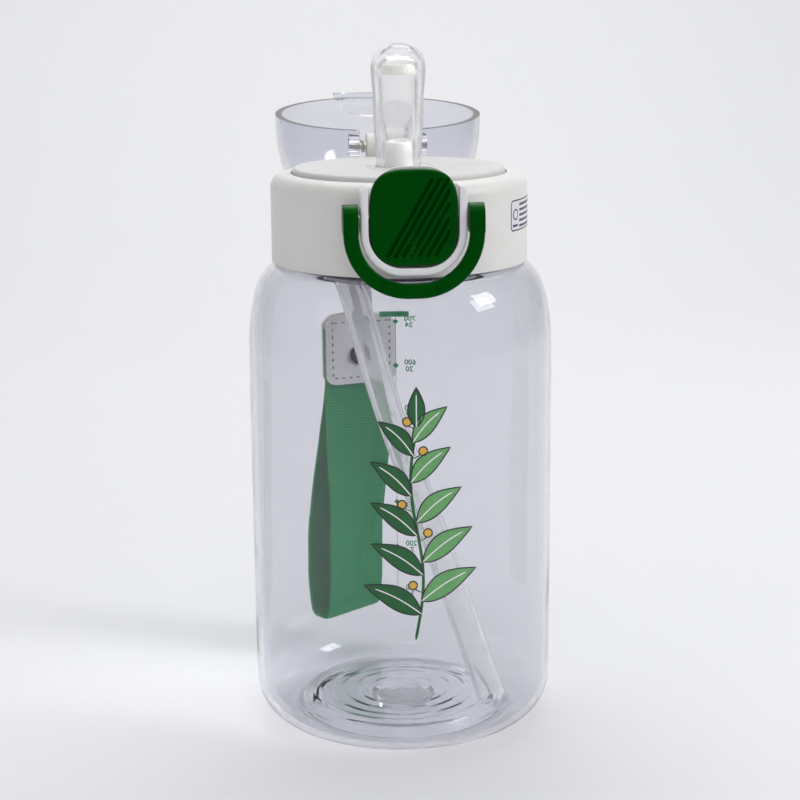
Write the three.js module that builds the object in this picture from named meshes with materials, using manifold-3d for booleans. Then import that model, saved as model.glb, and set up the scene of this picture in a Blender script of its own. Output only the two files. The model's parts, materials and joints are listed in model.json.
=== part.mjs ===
// A child's straw bottle: clear body, screw lid, flip-up clear dome over a soft spout, push-button
// latch, swinging lock ring and a webbing hand strap. Millimetres, +Z up. The origin is the centre
// of the base, the push button faces -Y, and the dome stands open behind the lid, over +Y.
import * as THREE from "three";
import { mergeVertices } from "three/addons/utils/BufferGeometryUtils.js";
import Module from "manifold-3d";

const wasm = await Module();
wasm.setup();

// ---------------------------------------------------------------- driving dimensions
const RADIAL_STEPS = 36; // facets round the large turned parts
const FIT_GAP = 0.3; // gap left between pieces that touch

const BODY_R = 47.5; // bottle, outside
const BODY_WALL = 2;
const BASE_CORNER_R = 13.8;
const BASE_RECESS = 2.8; // hollow under the base, inside the foot ring
const FLOOR_Z = 6.7; // inner floor
const SHOULDER_Z = 112; // where the straight wall ends
const SHOULDER_TOP_Z = 148.2;
const NECK_R = 34.4;
const NECK_BORE_R = 32.5;
const NECK_TOP_Z = 166;
const NECK_BEAD_R = 37.1;

const THREAD_LEAD = 4.5; // single start, right-handed
const THREAD_HEIGHT = 1.5;
const THREAD_ROOT_WIDTH = 1.8;
const THREAD_CREST_WIDTH = 0.9;
const THREAD_START_Z = 153;

const LID_R = 39.7;
const LID_WALL = 2;
const LID_BOTTOM_Z = 148.3;
const LID_LEDGE_Z = 175.6; // ring that the closed dome stands on
const LID_EDGE_R = 4.2; // rounding between side and top
const LINER_BORE_R = 36.3;
const VENT = { x: 14, y: 12 }; // air valve in the liner
const GASKET_THICKNESS = 1.7;
const DECK_R = 33.1; // raised disc on top
const DECK_TOP_Z = 177.2;

const DOME_R = 35.3;
const DOME_WALL = 2.2;
const DOME_HEIGHT = 43.5;
const DOME_RIM_Z = LID_LEDGE_Z + FIT_GAP; // when closed
const HINGE = { y: 37.5, z: 180.2 }; // axis along X
const LUG = { half: 7.1, r: 4 }; // the lid's barrel between the dome's two knuckles
const KNUCKLE = { from: 9.3, to: 12.8, r: 3.2 };
const DOME_OPEN_DEG = 174.5;
const TAB = { half: 12.9, reach: -39.8, lipZ: 175, lipBack: -38.2, archTop: 182.9 };

const SPOUT_TOP_Z = 214.6;
const LATCH = { y: -41.6, z: 166.5 }; // pin that the button and the lock ring turn on
const BUTTON = { width: 25.7, bottom: 152.6, top: 180.7, corner: 9, front: -45.6, depth: 2 };
const BUTTON_EDGE = 0.7; // bevel round the button's face
const GROOVES = { count: 7, width: 0.7, depth: 0.5, pitch: 2.05, lean: THREE.MathUtils.degToRad(31) };
const LEVER = { half: 12.2, bottom: 155, top: 181.3, back: -41.6, thickness: 1.7, knuckleR: 1.9 };
const BOSS = { width: 31, bottom: 149.8, top: 176.5, corner: 12.5, front: -45.2, rim: 2.3 };
const POCKET = { back: -39.1, bottom: 151.9 }; // hollow in the boss, behind and below the button
const RING = { outer: 41, section: 4.4, corner: 19, bottom: 143.3, top: 170.6, front: -46.6, depth: 2.6 };
const RING_EAR = { bottom: 162.2, back: -38.8 }; // deeper ends that the ring's pin passes through

const STRAP_X = -9.7; // middle of the strap
const STRAP_PIN = { y: 43, z: 158 };
const STRAP_EAR = { offset: 8.4, half: 1.1, r: 3.2 };
const WEBBING = { width: 25, thickness: 1.3, bottom: 13 };
const HANGER = { width: 25.6, tongue: 8.6, thickness: 1.3, bottom: 97.3, top: 122.9 };

const HINGE_PIN_R = 1.1;
const LATCH_PIN_R = 0.8;
const STRAP_PIN_R = 0.95;

const STRAW_R = 4.5;
const STRAW_BORE_R = 3.5;
const STRAW_TOP = new THREE.Vector3(-18.2, 0, 160.5);

// ---------------------------------------------------------------- colours
const finish = (color, roughness, extra = {}) =>
  new THREE.MeshStandardMaterial({ color, roughness, metalness: 0, ...extra });
const clear = (color, opacity) => finish(color, 0.08, { transparent: true, opacity });
const COLORS = {
  bottle: clear(0xe6ecf2, 0.35),
  dome: clear(0xd2d2e0, 0.4),
  white: finish(0xf1efeb, 0.45),
  boss: finish(0xe4e6ec, 0.4),
  green: finish(0x006b2d, 0.35),
  silicone: finish(0xe2e4e4, 0.4, { transparent: true, opacity: 0.6 }),
  straw: finish(0xd4d8d8, 0.35, { transparent: true, opacity: 0.55 }),
  steel: finish(0xb9b4ab, 0.25, { metalness: 1 }),
  webbing: finish(0x2d8a55, 0.9),
  leather: finish(0xbcbbb6, 0.7),
  snap: finish(0x2c3230, 0.35, { metalness: 0.8 }),
};

// ---------------------------------------------------------------- solids
function toSolid(geometry) {
  const bare = geometry.clone();
  bare.deleteAttribute("normal");
  bare.deleteAttribute("uv");
  const merged = mergeVertices(bare, 1e-4);
  return new wasm.Manifold(
    new wasm.Mesh({
      numProp: 3,
      vertProperties: new Float32Array(merged.attributes.position.array),
      triVerts: new Uint32Array(merged.index.array),
    }),
  );
}

function toGeometry(solid) {
  const mesh = solid.getMesh();
  const geometry = new THREE.BufferGeometry();
  geometry.setAttribute("position", new THREE.BufferAttribute(mesh.vertProperties, 3));
  geometry.setIndex(new THREE.BufferAttribute(mesh.triVerts, 1));
  geometry.computeVertexNormals();
  return geometry;
}

const join = (first, ...others) =>
  toGeometry(others.reduce((whole, other) => whole.add(toSolid(other)), toSolid(first)));
const cut = (first, ...others) =>
  toGeometry(others.reduce((whole, other) => whole.subtract(toSolid(other)), toSolid(first)));
const common = (first, other) => toGeometry(toSolid(first).intersect(toSolid(other)));

// A body turned about Z from [radius, height] points, which run from axis to axis or form a loop.
function turned(points, steps = RADIAL_STEPS) {
  const area = points.reduce((sum, [r, z], i) => {
    const [nextR, nextZ] = points[(i + 1) % points.length];
    return sum + r * nextZ - nextR * z;
  }, 0);
  const ordered = area < 0 ? [...points].reverse() : points;
  const profile = ordered.map(([r, z]) => new THREE.Vector2(r, z));
  return new THREE.LatheGeometry(profile, steps).rotateX(Math.PI / 2);
}

const loop = (points) => [...points, points[0]];

function disc(radius, bottom, top, steps = RADIAL_STEPS) {
  const height = top - bottom;
  const geometry = new THREE.CylinderGeometry(radius, radius, height, steps).rotateX(Math.PI / 2);
  return geometry.translate(0, 0, bottom + height / 2);
}

// A rod along X between two x values.
function rodX(radius, from, to, y, z, steps = 16) {
  const geometry = new THREE.CylinderGeometry(radius, radius, to - from, steps);
  return geometry.rotateZ(Math.PI / 2).translate((from + to) / 2, y, z);
}

function block(x0, x1, y0, y1, z0, z1) {
  const geometry = new THREE.BoxGeometry(x1 - x0, y1 - y0, z1 - z0);
  return geometry.translate((x0 + x1) / 2, (y0 + y1) / 2, (z0 + z1) / 2);
}

// Points of a quarter superellipse: from (0, 0) sideways reach to (rise) height.
function quarterCurve(reach, rise, power, steps) {
  return Array.from({ length: steps + 1 }, (_, i) => {
    const angle = (i / steps) * (Math.PI / 2);
    return [reach * Math.cos(angle) ** (2 / power), rise * Math.sin(angle) ** (2 / power)];
  });
}

// Points of an arc in a profile, angles in degrees.
function arc(centreR, centreZ, radius, fromDeg, toDeg, steps) {
  return Array.from({ length: steps + 1 }, (_, i) => {
    const angle = THREE.MathUtils.degToRad(fromDeg + ((toDeg - fromDeg) * i) / steps);
    return [centreR + radius * Math.cos(angle), centreZ + radius * Math.sin(angle)];
  });
}

// An outline drawn in (x, z) and pushed out towards -Y from yBack.
function plate(shape, yBack, depth, steps = 8) {
  const geometry = new THREE.ExtrudeGeometry(shape, { depth, bevelEnabled: false, curveSegments: steps });
  return geometry.rotateX(Math.PI / 2).translate(0, yBack, 0);
}

// An outline drawn in (y, z) and pushed out along +X from xFrom.
const SIDEWAYS = new THREE.Matrix4().makeBasis(
  new THREE.Vector3(0, 1, 0),
  new THREE.Vector3(0, 0, 1),
  new THREE.Vector3(1, 0, 0),
);
function sidePlate(shape, xFrom, depth, steps = 8) {
  const geometry = new THREE.ExtrudeGeometry(shape, { depth, bevelEnabled: false, curveSegments: steps });
  return geometry.applyMatrix4(SIDEWAYS).translate(xFrom, 0, 0);
}

// A rectangle in (x, z) with its own radius for the lower and the upper corners.
function roundedPlate(width, bottom, top, lowerR, upperR) {
  const half = width / 2;
  const shape = new THREE.Shape();
  shape.moveTo(-half + lowerR, bottom);
  shape.lineTo(half - lowerR, bottom);
  shape.absarc(half - lowerR, bottom + lowerR, lowerR, -Math.PI / 2, 0);
  shape.lineTo(half, top - upperR);
  shape.absarc(half - upperR, top - upperR, upperR, 0, Math.PI / 2);
  shape.lineTo(-half + upperR, top);
  shape.absarc(-half + upperR, top - upperR, upperR, Math.PI / 2, Math.PI);
  shape.lineTo(-half, bottom + lowerR);
  shape.absarc(-half + lowerR, bottom + lowerR, lowerR, Math.PI, 1.5 * Math.PI);
  return shape;
}

// A strip of even thickness along a line of [y, z] points.
function strip(points, thickness, steps) {
  const curve = new THREE.SplineCurve(points.map(([y, z]) => new THREE.Vector2(y, z)));
  const left = [];
  const right = [];
  for (let i = 0; i <= steps; i += 1) {
    const middle = curve.getPointAt(i / steps);
    const along = curve.getTangentAt(i / steps);
    const across = new THREE.Vector2(-along.y, along.x).multiplyScalar(thickness / 2);
    left.push(middle.clone().add(across));
    right.unshift(middle.clone().sub(across));
  }
  return new THREE.Shape([...left, ...right]);
}

// A wire or tube of round section along a curve.
function tube(curve, radius, sides, steps, boreRadius = 0) {
  const section = new THREE.Shape().absarc(0, 0, radius, 0, 2 * Math.PI);
  if (boreRadius > 0) section.holes.push(new THREE.Path().absarc(0, 0, boreRadius, 0, 2 * Math.PI));
  return new THREE.ExtrudeGeometry(section, { extrudePath: curve, steps, curveSegments: sides });
}

// A helix about Y through the origin, its ends at -length / 2 and +length / 2.
class Coil extends THREE.Curve {
  constructor(radius, length, turns) {
    super();
    Object.assign(this, { radius, length, turns });
  }
  getPoint(t, target = new THREE.Vector3()) {
    const angle = 2 * Math.PI * this.turns * t;
    const along = this.length * (t - 0.5);
    return target.set(this.radius * Math.cos(angle), along, this.radius * Math.sin(angle));
  }
}

// A screw ridge about Z: a straight bar bent round the neck, tapering from root to crest.
function screwRidge(rootR, crestR, startZ, turns) {
  const stepsPerTurn = 24;
  const bar = new THREE.BoxGeometry(1, 1, 1, Math.round(turns * stepsPerTurn), 1, 1);
  const place = bar.attributes.position;
  for (let i = 0; i < place.count; i += 1) {
    const turn = (place.getX(i) + 0.5) * turns;
    const toCrest = place.getY(i) + 0.5;
    const width = THREE.MathUtils.lerp(THREAD_ROOT_WIDTH, THREAD_CREST_WIDTH, toCrest);
    const radius = THREE.MathUtils.lerp(rootR, crestR, toCrest);
    const angle = 2 * Math.PI * turn;
    const z = startZ + THREAD_LEAD * turn + place.getZ(i) * width;
    place.setXYZ(i, radius * Math.cos(angle), radius * Math.sin(angle), z);
  }
  // Bending towards a smaller radius keeps the faces pointing out; towards a larger one flips them.
  return crestR > rootR ? flipped(bar) : bar;
}

function flipped(geometry) {
  const index = geometry.index.array;
  for (let i = 0; i < index.length; i += 3) [index[i], index[i + 1]] = [index[i + 1], index[i]];
  return geometry;
}

// ---------------------------------------------------------------- bottle
function bottleBody() {
  const cornerCentreR = BODY_R - BASE_CORNER_R;
  const innerR = BODY_R - BODY_WALL;
  const shoulderRise = SHOULDER_TOP_Z - SHOULDER_Z;
  const outerShoulder = quarterCurve(BODY_R - 34, shoulderRise, 3, 7)
    .map(([r, z]) => [34 + r, SHOULDER_Z + z])
    .filter(([r]) => r > NECK_BEAD_R);
  const innerShoulder = quarterCurve(innerR - NECK_BORE_R, shoulderRise - BODY_WALL, 3, 5)
    .map(([r, z]) => [NECK_BORE_R + r, SHOULDER_Z + z])
    .reverse();
  const innerCorner = quarterCurve(8, 11, 2, 3).map(([r, z]) => [innerR - 8 + r, 16 - z]);
  const blank = turned([
    [0, 0],
    [8.5, 0],
    [10.5, BASE_RECESS],
    [26.5, BASE_RECESS],
    [29.5, 0],
    ...arc(cornerCentreR, BASE_CORNER_R, BASE_CORNER_R, -90, 0, 4),
    ...outerShoulder,
    [NECK_BEAD_R, SHOULDER_TOP_Z - 0.2],
    [NECK_BEAD_R, SHOULDER_TOP_Z + 1.4],
    [NECK_R, SHOULDER_TOP_Z + 1.8],
    [NECK_R, NECK_TOP_Z - 0.5],
    [NECK_R - 0.5, NECK_TOP_Z],
    [NECK_BORE_R + 0.5, NECK_TOP_Z],
    [NECK_BORE_R, NECK_TOP_Z - 0.5],
    ...innerShoulder,
    ...innerCorner,
    [35.8, 5.2],
    [34.6, FLOOR_Z],
    [4, FLOOR_Z],
    [3, FLOOR_Z - 1.1],
    [0, FLOOR_Z - 1.1],
  ]);
  const thread = screwRidge(NECK_R - 0.5, NECK_R + THREAD_HEIGHT, THREAD_START_Z, 2);
  return join(blank, thread);
}

// ---------------------------------------------------------------- lid
const GASKET_BOTTOM_Z = NECK_TOP_Z + FIT_GAP;
const LINER_PLATE_Z = GASKET_BOTTOM_Z + GASKET_THICKNESS + FIT_GAP;
const LINER_TOP_Z = LINER_PLATE_Z + 2.2;
const LID_PLATE_Z = LID_LEDGE_Z - 3; // underside of the lid's top
const LID_BORE_R = LID_R - LID_WALL;

function lidGasket() {
  const top = GASKET_BOTTOM_Z + GASKET_THICKNESS;
  return turned(loop([[31.4, GASKET_BOTTOM_Z], [36, GASKET_BOTTOM_Z], [36, top], [31.4, top]]));
}

function lidLiner() {
  const portR = 5.8; // the straw adapter's riser passes here
  const outerR = LID_BORE_R - FIT_GAP;
  const cap = turned(
    loop([
      [portR, LINER_PLATE_Z],
      [LINER_BORE_R, LINER_PLATE_Z],
      [LINER_BORE_R, 150.5],
      [outerR, 150.5],
      [outerR, LID_PLATE_Z - FIT_GAP],
      [outerR - 2, LID_PLATE_Z - FIT_GAP],
      [outerR - 2, LINER_TOP_Z],
      [portR, LINER_TOP_Z],
    ]),
  );
  const crestR = LINER_BORE_R - THREAD_HEIGHT;
  // The liner's ridge starts 1 mm higher than half a lead below the neck's, and is turned back by
  // as much, so the two ridges run half a lead apart and are in mesh at rest.
  const raise = 1;
  const startZ = THREAD_START_Z - THREAD_LEAD / 2 + raise;
  const thread = screwRidge(LINER_BORE_R + 0.4, crestR, startZ, 1.6);
  const phase = (2 * Math.PI * raise) / THREAD_LEAD;
  const ventHole = disc(1.5, LINER_PLATE_Z - 1, LINER_TOP_Z + 1, 12).translate(VENT.x, VENT.y, 0);
  return cut(join(cap, thread.rotateZ(phase)), ventHole);
}

const lidEdge = arc(LID_R - LID_EDGE_R, LID_LEDGE_Z - LID_EDGE_R, LID_EDGE_R, 90, 0, 4);

function bossOutline(inset, top) {
  const { width, corner, rim } = BOSS;
  const wall = inset ? rim : 0;
  return roundedPlate(width - 2 * wall, inset ? POCKET.bottom : BOSS.bottom, top, corner - wall, 2.5);
}

function hingeLug() {
  const { half, r } = LUG;
  const barrel = rodX(r, -half, half, HINGE.y, HINGE.z, 20);
  const web = block(-half, half, 34.4, 39, LID_PLATE_Z + 0.6, HINGE.z);
  return join(barrel, web);
}

function strapEar(x) {
  const { half, r } = STRAP_EAR;
  const round = rodX(r, x - half, x + half, STRAP_PIN.y, STRAP_PIN.z, 16);
  const web = block(x - half, x + half, 32, STRAP_PIN.y, STRAP_PIN.z - r, STRAP_PIN.z + r);
  return join(round, web);
}

function lidShell() {
  const skirt = turned(
    loop([
      [30.2, LID_PLATE_Z],
      [30.2, LID_PLATE_Z + 1.7],
      [DECK_R + FIT_GAP, LID_PLATE_Z + 1.7],
      [DECK_R + FIT_GAP, LID_LEDGE_Z],
      ...lidEdge,
      [LID_R, LID_BOTTOM_Z + 0.5],
      [LID_R - 0.5, LID_BOTTOM_Z],
      [LID_BORE_R + 0.2, LID_BOTTOM_Z],
      [LID_BORE_R, LID_BOTTOM_Z + 0.3],
      [LID_BORE_R, LID_PLATE_Z],
    ]),
  );
  const bossBlank = plate(bossOutline(false, BOSS.top), -34, -34 - BOSS.front);
  const interior = disc(LID_BORE_R, LID_BOTTOM_Z - 9, LID_PLATE_Z);
  const aboveLedge = disc(37.2, LID_LEDGE_Z, LID_LEDGE_Z + 9);
  const boss = cut(bossBlank, interior, aboveLedge);
  const ears = [-1, 1].map((side) => cut(strapEar(STRAP_X + side * STRAP_EAR.offset), interior));
  const pocket = plate(bossOutline(true, BOSS.top + 9), POCKET.back, 9);
  // The closed dome's lip drops in here.
  const pocketHalf = BOSS.width / 2 - BOSS.rim;
  const lipSeat = block(-pocketHalf, pocketHalf, -45, TAB.lipBack + FIT_GAP, TAB.lipZ - FIT_GAP, 180);
  return cut(
    join(skirt, boss, hingeLug(), ...ears),
    pocket,
    lipSeat,
    rodX(LATCH_PIN_R + FIT_GAP, -30, 30, LATCH.y, LATCH.z),
    rodX(HINGE_PIN_R + FIT_GAP, -20, 20, HINGE.y, HINGE.z),
    rodX(STRAP_PIN_R + FIT_GAP, STRAP_X - 12, STRAP_X + 12, STRAP_PIN.y, STRAP_PIN.z),
  );
}

function topDeck() {
  const bottom = LID_PLATE_Z + 1.7 + FIT_GAP;
  const plateSolid = turned([
    [0, bottom],
    [28.4, bottom],
    [28.4, LID_PLATE_Z - 0.6],
    [29.8, LID_PLATE_Z - 0.6],
    [29.8, bottom],
    [DECK_R, bottom],
    ...arc(DECK_R - 0.9, DECK_TOP_Z - 0.9, 0.9, 0, 90, 3),
    [0, DECK_TOP_Z],
  ]);
  const spoutHole = disc(7.3, bottom - 1, DECK_TOP_Z + 1, 24);
  const airHole = disc(1, bottom - 1, DECK_TOP_Z + 1, 10).translate(0, 15, 0);
  return cut(plateSolid, spoutHole, airHole);
}

const hingePin = () => rodX(HINGE_PIN_R, -12.9, 12.9, HINGE.y, HINGE.z, 14);
const latchPin = () => rodX(LATCH_PIN_R, -20.2, 20.2, LATCH.y, LATCH.z, 12);
const strapPin = () =>
  rodX(STRAP_PIN_R, STRAP_X - 9.6, STRAP_X + 9.6, STRAP_PIN.y, STRAP_PIN.z, 12);

// Wound round the hinge pin, in the gap between the lug and a knuckle.
function hingeSpring() {
  const coil = tube(new Coil(2, 1.2, 2), 0.22, 3, 30);
  return coil.rotateZ(Math.PI / 2).translate(0, HINGE.y, HINGE.z);
}
const HINGE_SPRING_X = (LUG.half + KNUCKLE.from) / 2;

// Stands in the boss's pocket, behind the foot of the lever.
function buttonSpring() {
  const coil = tube(new Coil(2.4, 0.9, 2), 0.22, 3, 26);
  return coil.translate(0, (POCKET.back + LEVER.back) / 2 + 0.25, LEVER.bottom + 2);
}

// ---------------------------------------------------------------- spout and straw
function spoutNipple() {
  const flange = [LINER_TOP_Z + FIT_GAP, LINER_TOP_Z + 2.3];
  return turned(
    loop([
      [2.6, flange[0]],
      [8.4, flange[0]],
      [8.4, flange[1]],
      [4.3, flange[1]],
      [4.3, 182.6],
      [3.9, 184.8],
      [2.6, 184.8],
    ]),
    24,
  );
}

function spout() {
  const flangeBottom = LINER_TOP_Z + 2.6;
  const flangeTop = LID_PLATE_Z + 1.7;
  const bulb = { r: 8.45, z: 206.6 };
  const domeTop = quarterCurve(bulb.r, SPOUT_TOP_Z - bulb.z, 2.3, 5).map(([r, z]) => [r, bulb.z + z]);
  const cavityTop = quarterCurve(5.4, 4, 2.3, 3)
    .map(([r, z]) => [r, 206.4 + z])
    .reverse();
  return turned(
    [
      ...cavityTop,
      [5.2, 188],
      [4.6, 185.2],
      [4.6, flangeBottom],
      [9, flangeBottom],
      [9, flangeTop],
      [7, flangeTop],
      [7.05, 181],
      [7.55, 188],
      [7.7, 197],
      ...domeTop,
    ],
    24,
  );
}

const strawCurve = new THREE.CatmullRomCurve3([
  STRAW_TOP,
  new THREE.Vector3(-14.2, 0, 138),
  new THREE.Vector3(-5.2, -3.4, 104),
  new THREE.Vector3(9.8, -10.4, 60),
  new THREE.Vector3(26.6, -17.8, 9.2),
]);
const straw = () => tube(strawCurve, STRAW_R, 6, 16, STRAW_BORE_R);

function strawAdapter() {
  const boxTop = LINER_PLATE_Z - FIT_GAP;
  const boxBottom = boxTop - 6;
  const riserTop = LINER_TOP_Z;
  const spigotAxis = strawCurve.getTangentAt(0);
  const along = new THREE.Quaternion().setFromUnitVectors(new THREE.Vector3(0, -1, 0), spigotAxis);
  const spigotPiece = (radius, from, to) =>
    new THREE.CylinderGeometry(radius, radius, to - from, 14)
      .translate(0, -(from + to) / 2, 0)
      .applyQuaternion(along)
      .translate(STRAW_TOP.x, STRAW_TOP.y, STRAW_TOP.z);
  const body = join(
    block(STRAW_TOP.x, 0, -5.2, 5.2, boxBottom, boxTop),
    disc(5.2, boxBottom, riserTop, 20),
    disc(5.2, boxBottom, boxTop, 20).translate(STRAW_TOP.x, 0, 0),
    spigotPiece(STRAW_BORE_R - FIT_GAP, -3, 9),
  );
  const channel = join(
    disc(2.6, boxBottom + 1.6, riserTop + 1, 14),
    block(STRAW_TOP.x - 2, 0, -2.2, 2.2, boxBottom + 1.6, boxTop - 1.6),
    spigotPiece(2.1, -4, 10),
  );
  return cut(body, channel);
}

function ventValve() {
  const under = LINER_PLATE_Z - FIT_GAP;
  const over = LINER_TOP_Z + FIT_GAP;
  return turned(
    [
      [0, under - 1.2],
      [3.6, under],
      [1.1, under],
      [1.1, over],
      [2.3, over],
      [1.3, over + 1.2],
      [0, over + 1.2],
    ],
    16,
  ).translate(VENT.x, VENT.y, 0);
}

// ---------------------------------------------------------------- dome cover, built closed
function domeSolid(radius, height) {
  const flank = 2;
  const curve = quarterCurve(radius, height - flank, 2.15, 7).map(([r, z]) => [r, flank + z]);
  return turned([[0, 0], [radius, 0], ...curve.slice(0, -1), [0, height]]).translate(0, 0, DOME_RIM_Z);
}

// The finger tab: an arch on the front of the dome, whose outer wall hangs below the rim as a lip.
function domeTab() {
  const { half, reach, lipZ, archTop, lipBack } = TAB;
  const arch = new THREE.Shape();
  arch.moveTo(-half, lipZ);
  arch.absellipse(0, lipZ, half, archTop - lipZ, Math.PI, 0, true);
  const blank = plate(arch, -28, -28 - reach, 10);
  // The front face leans back above the lip, and nothing but the lip reaches below the rim.
  const leanZ = DOME_RIM_Z + 2.6;
  const lean = new THREE.Shape([
    new THREE.Vector2(reach - 3, leanZ),
    new THREE.Vector2(reach, leanZ),
    new THREE.Vector2(-36.2, archTop + 1),
    new THREE.Vector2(reach - 3, archTop + 1),
  ]);
  const underRim = block(-half - 1, half + 1, lipBack, -20, lipZ - 1, DOME_RIM_Z + 0.8);
  return cut(blank, sidePlate(lean, -half - 1, 2 * half + 2), underRim);
}

function domeKnuckle(from, to) {
  const barrel = rodX(KNUCKLE.r, from, to, HINGE.y, HINGE.z, 16);
  const web = block(from, to, 32.4, HINGE.y, HINGE.z - 2.6, HINGE.z + KNUCKLE.r);
  return join(barrel, web);
}

function domeCover() {
  const outside = join(
    domeSolid(DOME_R, DOME_HEIGHT),
    domeTab(),
    domeKnuckle(-KNUCKLE.to, -KNUCKLE.from),
    domeKnuckle(KNUCKLE.from, KNUCKLE.to),
  );
  const inside = domeSolid(DOME_R - DOME_WALL, DOME_HEIGHT - DOME_WALL);
  const below = disc(DOME_R - DOME_WALL, DOME_RIM_Z - 1, DOME_RIM_Z + 0.5);
  const notch = block(-8.9, 8.9, 28, 42, DOME_RIM_Z - 1, 185.5);
  const bore = rodX(HINGE_PIN_R + FIT_GAP, -20, 20, HINGE.y, HINGE.z);
  const closed = cut(outside, inside, below, notch, bore);
  return closed.translate(0, -HINGE.y, -HINGE.z);
}

// ---------------------------------------------------------------- button, lever and lock ring
function releaseButton() {
  const { width, bottom, top, corner, front, depth } = BUTTON;
  const edge = BUTTON_EDGE;
  const shape = roundedPlate(width - 2 * edge, bottom + edge, top - edge, corner, corner);
  const pad = new THREE.ExtrudeGeometry(shape, {
    depth: depth - edge,
    curveSegments: 6,
    bevelThickness: edge,
    bevelSize: edge,
    bevelSegments: 1,
  });
  const cap = pad.rotateX(Math.PI / 2).translate(0, front + depth, 0);
  const back = block(-width, width, front + depth, front + depth + 3, bottom - 2, top + 2);
  // Slanting grooves, each lower than the last, kept to the inside of the pad's face.
  const half = GROOVES.width / 2;
  const grooves = Array.from({ length: GROOVES.count }, (_, i) => {
    const bar = block(-half, half, front - 1, front + GROOVES.depth, -14, 14);
    const middleZ = (bottom + top) / 2 - 0.9 * i;
    return bar.rotateY(GROOVES.lean).translate(0.6 + i * GROOVES.pitch, 0, middleZ);
  });
  const field = plate(roundedPlate(width - 5, bottom + 2.6, top - 3.6, 5.6, 5.6), front + 1, 3);
  return cut(cap, back, common(join(...grooves), field));
}

function latchLever() {
  const { half, bottom, top, back, thickness, knuckleR } = LEVER;
  const lever = plate(roundedPlate(2 * half, bottom, top, 6, 6), back, thickness);
  const inner = 8; // where each knuckle starts
  const knuckles = [
    rodX(knuckleR, -half, -inner, LATCH.y, LATCH.z),
    rodX(knuckleR, inner, half, LATCH.y, LATCH.z),
  ];
  return cut(join(lever, ...knuckles), rodX(LATCH_PIN_R + FIT_GAP, -20, 20, LATCH.y, LATCH.z));
}

function lockRing() {
  const { outer, section, corner, bottom, top, front, depth } = RING;
  const half = outer / 2;
  const back = front + depth;
  const bow = plate(roundedPlate(outer, bottom, LATCH.z - 0.5, corner, 1), back, depth, 9);
  const opening = roundedPlate(outer - 2 * section, bottom + section, top + 20, corner - section, 1);
  // The upper corners are round enough for the ears to clear the lid when the ring swings up.
  const earShape = roundedPlate(RING_EAR.back - front, RING_EAR.bottom, top, 3, 3.8);
  const ears = [-half, half - section].map((x) =>
    sidePlate(earShape, x, section, 6).translate(0, (front + RING_EAR.back) / 2, 0),
  );
  const hoop = cut(bow, plate(opening, back + 1, depth + 2, 9));
  return cut(join(hoop, ...ears), rodX(LATCH_PIN_R + FIT_GAP, -30, 30, LATCH.y, LATCH.z));
}

// ---------------------------------------------------------------- strap
// Distances from the bottle's axis of the folded leather's two plates and of the webbing's legs
// between them.
const PLATE_Y = { inner: 49.55, outer: 54.25 };
const LEG_Y = { inner: 51.15, outer: 52.65 };

function strapHanger() {
  const fold = 2; // radius of the fold's middle line about the pin
  const line = [
    [PLATE_Y.inner, HANGER.bottom],
    [PLATE_Y.inner, 112],
    [PLATE_Y.inner, 124],
    [48.8, 134],
    [46.9, 143],
    [43.9, 150.5],
    [STRAP_PIN.y - 1.85, STRAP_PIN.z - 1.6],
    [STRAP_PIN.y - 1.5, STRAP_PIN.z + 1.4],
    [STRAP_PIN.y, STRAP_PIN.z + fold],
    [STRAP_PIN.y + 1.6, STRAP_PIN.z + 1.2],
    [STRAP_PIN.y + 2.3, STRAP_PIN.z - 1.6],
    [47, 150.5],
    [50.6, 142],
    [53, 132],
    [PLATE_Y.outer, 122],
    [PLATE_Y.outer, 112],
    [PLATE_Y.outer, HANGER.bottom],
  ];
  const folded = sidePlate(strip(line, HANGER.thickness, 56), -20, 40);
  const wide = HANGER.width / 2;
  const narrow = HANGER.tongue / 2;
  const chamfer = 3.2;
  const outline = new THREE.Shape();
  outline.moveTo(-wide + 3, HANGER.bottom - 0.1);
  outline.lineTo(wide - 3, HANGER.bottom - 0.1);
  outline.absarc(wide - 3, HANGER.bottom + 2.9, 3, -Math.PI / 2, 0);
  outline.lineTo(wide, HANGER.top - chamfer);
  outline.lineTo(wide - chamfer, HANGER.top);
  outline.lineTo(narrow, HANGER.top + 0.6);
  outline.lineTo(narrow, 170);
  outline.lineTo(-narrow, 170);
  outline.lineTo(-narrow, HANGER.top + 0.6);
  outline.lineTo(-wide + chamfer, HANGER.top);
  outline.lineTo(-wide, HANGER.top - chamfer);
  outline.absarc(-wide + 3, HANGER.bottom + 2.9, 3, Math.PI, 1.5 * Math.PI);
  return common(folded, plate(outline, 80, 60, 4)).translate(STRAP_X, 0, 0);
}

function strapWebbing() {
  const line = [
    [LEG_Y.inner, 118.5],
    [LEG_Y.inner, 108],
    [LEG_Y.inner, 97],
    [50, 80],
    [49.2, 60],
    [49.3, 38],
    [49.9, 24],
    [51.7, 16],
    [55.5, WEBBING.bottom + WEBBING.thickness / 2],
    [59.3, 16],
    [61.4, 24],
    [61.8, 38],
    [60.2, 60],
    [56.4, 80],
    [LEG_Y.outer, 97],
    [LEG_Y.outer, 108],
    [LEG_Y.outer, 118.5],
  ];
  const half = WEBBING.width / 2;
  return sidePlate(strip(line, WEBBING.thickness, 48), STRAP_X - half, WEBBING.width);
}

// A snap button's half, against one of the plates.
function snapButton(radius, from, to) {
  const height = 109;
  const button = new THREE.CylinderGeometry(radius, radius, to - from, 20);
  return button.translate(STRAP_X, (from + to) / 2, height);
}

// ---------------------------------------------------------------- assembly
const bottle = new THREE.Group();

function add(name, geometry, material, parent = bottle) {
  const mesh = new THREE.Mesh(geometry, material);
  mesh.name = name;
  parent.add(mesh);
  return mesh;
}

add("bottle_body", bottleBody(), COLORS.bottle);

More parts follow.
